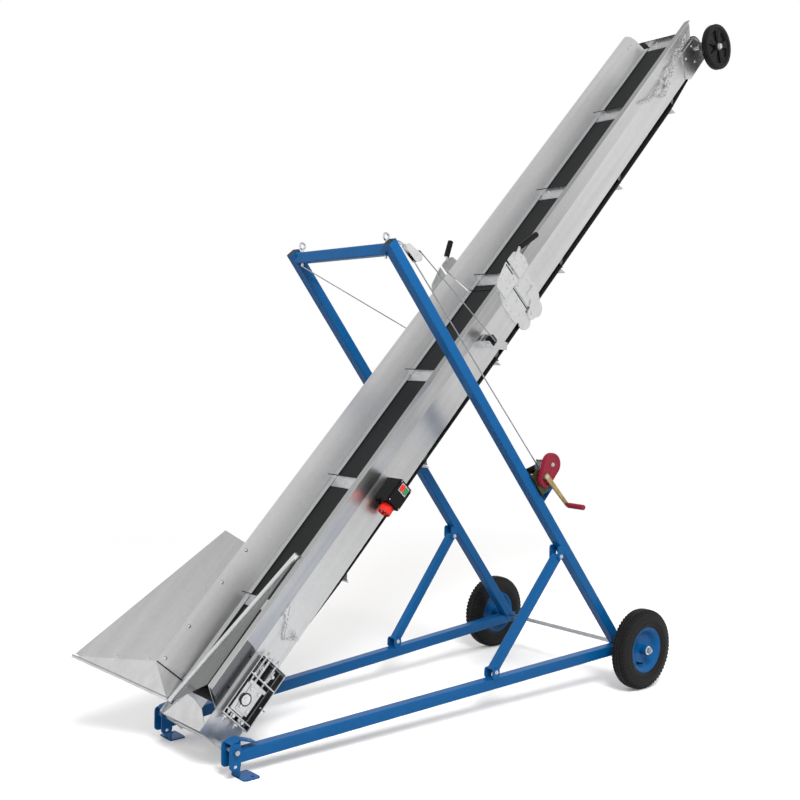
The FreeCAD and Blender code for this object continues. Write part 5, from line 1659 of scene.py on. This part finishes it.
@dataclass
class Hinges:
    """Bolts, springs, slots, levers and grips of the fold's hinges and latches."""

    grips: dict[Side, tuple] = field(default_factory=lambda: {
        Side.LEFT: (229.0, ((2560.0, 275.0), (2634.0, 309.0))),
        Side.RIGHT: (240.0, ((2600.0, 261.0), (2730.0, 225.0)))})
    plate_y: float = 232.0

    def build(self, palette: Palette) -> None:
        """Builds the details of both sides.

        Args:
            palette: All finishes.
        """
        levers = Mesher("latch_lever_plates")
        for side in Side:
            self.bolts(palette, side, Body.LOWER,
                       ((-90.0, 232.0), (-90.0, 176.0), (-55.0, 178.0), (-24.0, 176.0), (-64.0, 244.0),
                        (-24.0, 250.0)),
                       ((-98.0, 30.0), (-98.0, 70.0), (-30.0, 40.0), (-64.0, -20.0)),
                       ((-80.0, -46.0), (-84.0, -74.0)))
            self.slot(palette, side)
            self.bolts(palette, side, Body.UPPER,
                       ((24.0, 236.0), (60.0, 240.0), (86.0, 212.0), (30.0, 206.0), (90.0, 176.0),
                        (60.0, 172.0)),
                       ((30.0, 84.0), (96.0, 60.0), (96.0, 20.0), (40.0, 20.0)))
            self.lever(levers, palette, side)
        levers.build(palette.pale, Body.UPPER, smooth=True, instead="latch_levers")

    def lever(self, mesher: Mesher, palette: Palette, side: Side) -> None:
        """Latch lever: plate, the bolts behind it, a bent rod, and the ribbed grip as its own piece."""
        low_y = 226.0 if side is Side.LEFT else -232.0
        corners = ((8.0, 150.0), (96.0, 150.0), (106.0, 200.0), (95.0, 244.0), (67.0, 266.0), (8.0, 268.0))
        slope_plate(mesher, rounded_outline([(WALL.fold_s + s, n) for s, n in corners], 9.0, 6), low_y, 6.0)
        for s in (30.0, 80.0):
            bolt(mesher, TROUGH.place(WALL.fold_s + s, side.value * 201.0, 190.0), side.out, 8.0, 31.0, 12)
        grip_y, knots = self.grips[side]
        foot = TROUGH.place(WALL.fold_s + 48.0, side.value * 233.0, 236.0)
        start, end = (TROUGH.place(s, side.value * grip_y, n) for s, n in knots)
        tube(mesher, np.array([foot, start, start + 0.2 * (end - start)]), 0.007, 12)
        length = float(np.linalg.norm(end - start)) / MM
        run = np.linspace(0.0, length, 40)
        ribs = 12.0
        radius = 14.5 - 1.0 * (np.cos(run / length * 2.0 * math.pi * ribs) > 0.3)
        profile = [(-1.0, 0.0), (-1.0, 12.5), *zip(run, radius), (length + 2.5, 12.5), (length + 5.0, 0.0)]
        grip = Mesher("latch_grip_" + side.word)
        turned(grip, start, end - start, profile, 20)
        grip.build(palette.black, Body.UPPER, smooth=True)

    def bolts(self, palette: Palette, side: Side, body: Body, outer: Profile,
              leaf: Profile, small: Profile = ()) -> None:
        """Bolt heads of one half of a hinge, and the upper half's spring.

        Args:
            palette: All finishes.
            side: Side of the hinge.
            body: Section that the half belongs to.
            outer: Bolts on the wide plate by the wall's top, as s from the fold and n.
            leaf: Bolts on the hinge leaf below.
            small: Small bolts on the leaf.
        """
        mesher = Mesher(f"hinge_bolts_{'lower' if body is Body.LOWER else 'upper'}_{side.word}")
        leaf_y = WALL.foot_half + WALL.gauge + 6.0
        for y, places, radius in ((self.plate_y, outer, 6.5), (leaf_y, leaf, 6.5), (leaf_y, small, 4.0)):
            domes(mesher, side, WALL.fold_s, y, places, radius)
        if body is Body.UPPER:
            self.spring(mesher, side)
        mesher.build(palette.bright, body, smooth=True)

    def slot(self, palette: Palette, side: Side) -> None:
        """Slot that the latch drops into, on the lower section: a thin black plate, painted shade that stands
        for the slot's hollow.
        """
        mesher = Mesher("latch_slot_shade_" + side.word)
        outline = rounded_outline(rectangle((WALL.fold_s - 18.0, 196.0), (WALL.fold_s - 12.0, 262.0)), 3.0)
        # painted shade: a thin black plate on the hinge plate stands for the shaded hollow of the slot
        slope_plate(mesher, outline, min(side.value * self.plate_y, side.value * (self.plate_y + 0.6)), 0.6)
        mesher.build(palette.black, Body.LOWER)

    def spring(self, mesher: Mesher, side: Side) -> None:
        """Coil spring along the trough beside the lever: a helix between two eyes."""
        turns, radius = 14.0, 6.5
        phase = np.linspace(0.0, turns * 2.0 * math.pi, int(turns * 14))
        s = WALL.fold_s + 16.0 + 84.0 * phase / phase[-1]
        y = side.value * (WALL.outer(150.0) + 17.0 + radius * np.cos(phase))
        n = 140.0 + radius * np.sin(phase)
        tube(mesher, TROUGH.place(s, y, n), 0.0016, 6)


@dataclass
class HeadTrim:
    """Bolts and chains at the discharge end."""

    link_pitch: float = 0.019

    def build(self, palette: Palette) -> None:
        """Builds bolts and chains.

        Args:
            palette: All finishes.
        """
        bolts = Mesher("head_bolts")
        for side in Side:
            domes(bolts, side, WALL.head_s, WALL.foot_half + WALL.gauge + 6.0,
                  ((-168.0, -38.0), (-120.0, 40.0), (-30.0, 60.0), (-60.0, -20.0), (26.0, 20.0)), 7.0)
            outwards = WALL.out_of(side.value)
            for s in (-52.0, -88.0):
                dome(bolts, WALL.head_s + s, side.value * (WALL.inner(170.0) - 0.4), 170.0, -outwards)
            for s in (-300.0, -350.0):
                dome(bolts, WALL.head_s + s, side.value * WALL.outer(150.0), 150.0, outwards)
        bolts.build(palette.bright, Body.UPPER, smooth=True)
        mesher = Mesher("head_chain")
        off = WALL.out_of(-1)
        runs = (((-80.0, 165.0), (-140.0, 120.0), (-200.0, 150.0), (-262.0, 104.0), (-330.0, 118.0),
                 (-367.0, 22.0), (-397.0, 90.0), (-531.0, 72.0), (-653.0, 132.0)),
                ((-150.0, 100.0), (-230.0, 96.0), (-300.0, 60.0), (-350.0, 70.0), (-430.0, 20.0),
                 (-480.0, 60.0)))
        for lift, knots in zip((11.0, 13.0), runs):
            places = [TROUGH.place(WALL.head_s + s, -WALL.outer(n) - lift, n) for s, n in knots]
            for start, end in zip(places[:-1], places[1:]):
                links = max(3, int(np.linalg.norm(end - start) / self.link_pitch))
                chain(mesher, start, end, off, links)
        mesher.build(palette.bright, Body.UPPER, smooth=True)


@dataclass
class ReturnTrim:
    """Rope sheaves with their pins, and the flights that hang below the trough."""

    sheave_s: float = 2172.0
    sheave_n: float = 57.0
    rope_y: float = 204.0
    first: float = 859.0
    half_flight: float = 140.0
    gusset: float = 4.0

    def build(self, palette: Palette) -> None:
        """Builds the sheaves, their pins and the hanging flights.

        Args:
            palette: All finishes.
        """
        sheave, pins = Mesher("rope_sheave_wheels"), Mesher("rope_sheave_pins")
        for side in Side:
            middle = TROUGH.place(self.sheave_s, side.value * self.rope_y, self.sheave_n)
            groove = ((-9.0, 5.2), (-9.0, 26.0), (-6.0, 26.0), (0.0, 21.0), (6.0, 26.0), (9.0, 26.0),
                      (9.0, 5.2))
            turned(sheave, middle, SLOPE_UP, groove, 36, closed=True)
            for ahead in (SLOPE_UP, -SLOPE_UP):
                bolt(pins, middle + ahead * 0.0261, ahead, 9.0, 7.0)
        sheave.build(palette.black, Body.LOWER, smooth=True, instead="rope_sheaves")
        pins.build(palette.bright, Body.LOWER)
        for body, word, counts in ((Body.LOWER, "lower", range(3)), (Body.UPPER, "upper", range(3, 6))):
            self.flights(palette, body, word, counts)

    def flights(self, palette: Palette, body: Body, word: str, counts: range) -> None:
        """Faces, gussets and dark edges of the flights that hang below the trough; the dark guard finish on
        the faces and the black edges are painted shade from the trough above.
        """
        face, edge = Mesher("return_shaded_flights_" + word), Mesher("return_shade_edges_" + word)
        for count in counts:
            s = self.first + count * WALL.pitch
            for mesher, low, high in ((face, (s, -92.0), (s + 3.0, -30.0)),
                                      (edge, (s - 0.5, -95.0), (s + 3.5, -91.9))):
                slope_plate(mesher, rectangle(low, high), -self.half_flight, 2.0 * self.half_flight)
            for y in (-self.half_flight, self.half_flight - self.gusset):
                slope_plate(face, [(s + 3.0, -88.0), (s + 46.0, -50.0), (s + 3.0, -50.0)], y, self.gusset)
        # painted shade: these flights are galvanised like the bright ones on top; their dark finish and black
        # edges stand for the shade under the trough
        face.build(palette.guard, body)
        edge.build(palette.black, body)


@dataclass
class SwitchBox:
    """Switch box with its lid, buttons and lever, and the plug inlet."""

    s: float = 1275.0
    low_n: float = -28.0
    high_n: float = 58.0
    pin_circle: float = 0.014

    def build(self, palette: Palette) -> None:
        """Builds box, lid, buttons, lever and plug.

        Args:
            palette: All finishes.
        """
        near = WALL.foot_half + WALL.gauge
        box = Mesher("switch_housing")
        low, high = np.array([self.s - 70.0, self.low_n]), np.array([self.s + 50.0, self.high_n])
        slope_plate(box, rounded_outline(rectangle(low, high), 9.0, 5), -(near + 86.0), 86.0)
        slope_plate(box, rounded_outline(rectangle(low + 3.0, high - 3.0), 9.0, 5), -(near + 92.0), 5.0)
        box.build(palette.housing, Body.LOWER, instead="switch_box")
        out = np.array([0.0, -1.0, 0.0])
        face = -(near + 91.0)
        green, red, bolts = Mesher("switch_on"), Mesher("switch_off"), Mesher("switch_screws")
        plate = Mesher("switch_plate")
        slope_box(plate, (self.s - 2.0, face - 2.0, -10.0), (self.s + 40.0, face, 42.0), 3.0)
        plate.build(palette.bright, Body.LOWER)
        for mesher, n in ((green, -6.0), (red, 18.0)):
            slope_box(mesher, (self.s + 4.0, face - 6.0, n), (self.s + 34.0, face - 1.9, n + 19.0), 3.0)
        lever = Mesher("switch_lever")
        turned(lever, TROUGH.place(self.s - 68.0, -(near + 20.0), 38.0), -SLOPE_UP,
               ((0.0, 0.0), (0.0, 6.0), (26.0, 6.0), (28.0, 9.0), (44.0, 9.0), (46.0, 0.0)), 16)
        lever.build(palette.black, Body.LOWER, smooth=True)
        for s in (-60.0, 40.0):
            for n in (-20.0, 50.0):
                dome(bolts, self.s + s, face - 1.0, n, out, 3.5)
        green.build(palette.green, Body.LOWER, smooth=True)
        red.build(palette.signal_red, Body.LOWER, smooth=True)
        bolts.build(palette.bright, Body.LOWER, smooth=True)
        self.plug(palette)

    def plug(self, palette: Palette) -> None:
        """Plug inlet: a ribbed collar with a hinged cap, pointing down the trough."""
        mesher = Mesher("plug_body")
        start = TROUGH.place(self.s - 60.0, -(WALL.foot_half + WALL.gauge + 46.0), 2.0)
        profile = [(0.0, 0.0), (0.0, 31.0), (14.0, 31.0), (16.0, 29.0), (20.0, 29.0), (22.0, 31.0),
                   (44.0, 31.0), (46.0, 29.0), (46.0, 26.0), (24.0, 25.0), (24.0, 0.0)]
        turned(mesher, start, -SLOPE_UP, profile, 40)
        mesher.build(palette.signal_red, Body.LOWER, smooth=True, instead="plug_inlet")
        pins = Mesher("plug_pins")
        turn = np.radians([0.0, 72.0, 144.0, 216.0, 288.0])
        for angle in turn:
            offset = self.pin_circle * (math.cos(angle) * Side.LEFT.out + math.sin(angle) * SLOPE_OFF)
            foot = start - SLOPE_UP * 0.024 + offset
            turned(pins, foot, -SLOPE_UP, [(0.0, 2.5), (18.0, 2.5), (20.0, 0.0)], 10)
        pins.build(palette.bright, Body.LOWER, smooth=True)


@dataclass
class Ropes:
    """Rope stays from the stand to the trough, along the imported stays' lines."""

    frame: dict
    radius: float = 0.0026

    def build(self, palette: Palette) -> None:
        """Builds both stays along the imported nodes' own lines.

        Args:
            palette: All finishes.
        """
        for name in ("stay_left", "stay_right"):
            node = self.frame["nodes"][name]
            flat = np.empty(3 * len(node.data.vertices))
            node.data.vertices.foreach_get("co", flat)
            turned_by = np.array(node.matrix_world)
            points = flat.reshape(-1, 3) @ turned_by[:3, :3].T + turned_by[:3, 3]
            ends = points[np.argmax(points[:, 2])], points[np.argmin(points[:, 2])]
            run = points @ (ends[1] - ends[0])
            high, low = (points[np.abs(run - edge) < 1e-5].mean(axis=0) for edge in (run.min(), run.max()))
            mesher = Mesher(name + "_rope")
            tube(mesher, np.linspace(high, low, 60), self.radius, 8)
            piece = mesher.build(palette.wire, None, smooth=True, instead=name)
            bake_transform(piece)


def dress_nodes(frame: dict, palette: Palette) -> None:
    """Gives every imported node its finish.

    Args:
        palette: All finishes.
    """
    slots = {row["node"]: row["material_slot"] for row in frame["record"]["subparts"]}
    special = {"axle": palette.rod, "pivot_shaft": palette.rod, "winch_drum": palette.wire,
               "eyebolts": palette.bright, "guide_plate": palette.guard, "hinge_leaves_lower": palette.pale,
               "hinge_leaves_upper": palette.pale, "flights_lower": palette.bright,
               "flights_upper": palette.bright}
    for name, node in frame["nodes"].items():
        finish = special.get(name) or palette.by_slot(slots[name])
        node.data.materials.clear()
        node.data.materials.append(finish.material)


def main() -> None:
    """Builds the whole scene in order."""
    logging.basicConfig(level=logging.INFO, format="%(name)s %(message)s")
    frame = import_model()
    PhotoCamera().build()
    Studio().build()
    palette = Palette()
    dress_nodes(frame, palette)
    LOG.info("dressed %d packed nodes", len(frame["nodes"]))
    parts = (Stand(), RoadWheel(Side.LEFT), RoadWheel(Side.RIGHT), HeadWheel(Side.LEFT),
             HeadWheel(Side.RIGHT), Winch(), TroughTrim(), Tensioners(), FeedTrim(), Hinges(), HeadTrim(),
             ReturnTrim(), SwitchBox(), Ropes(frame))
    for part in parts:
        part.build(palette)
        LOG.info("built %s", type(part).__name__)


if __name__ == "__main__":
    main()
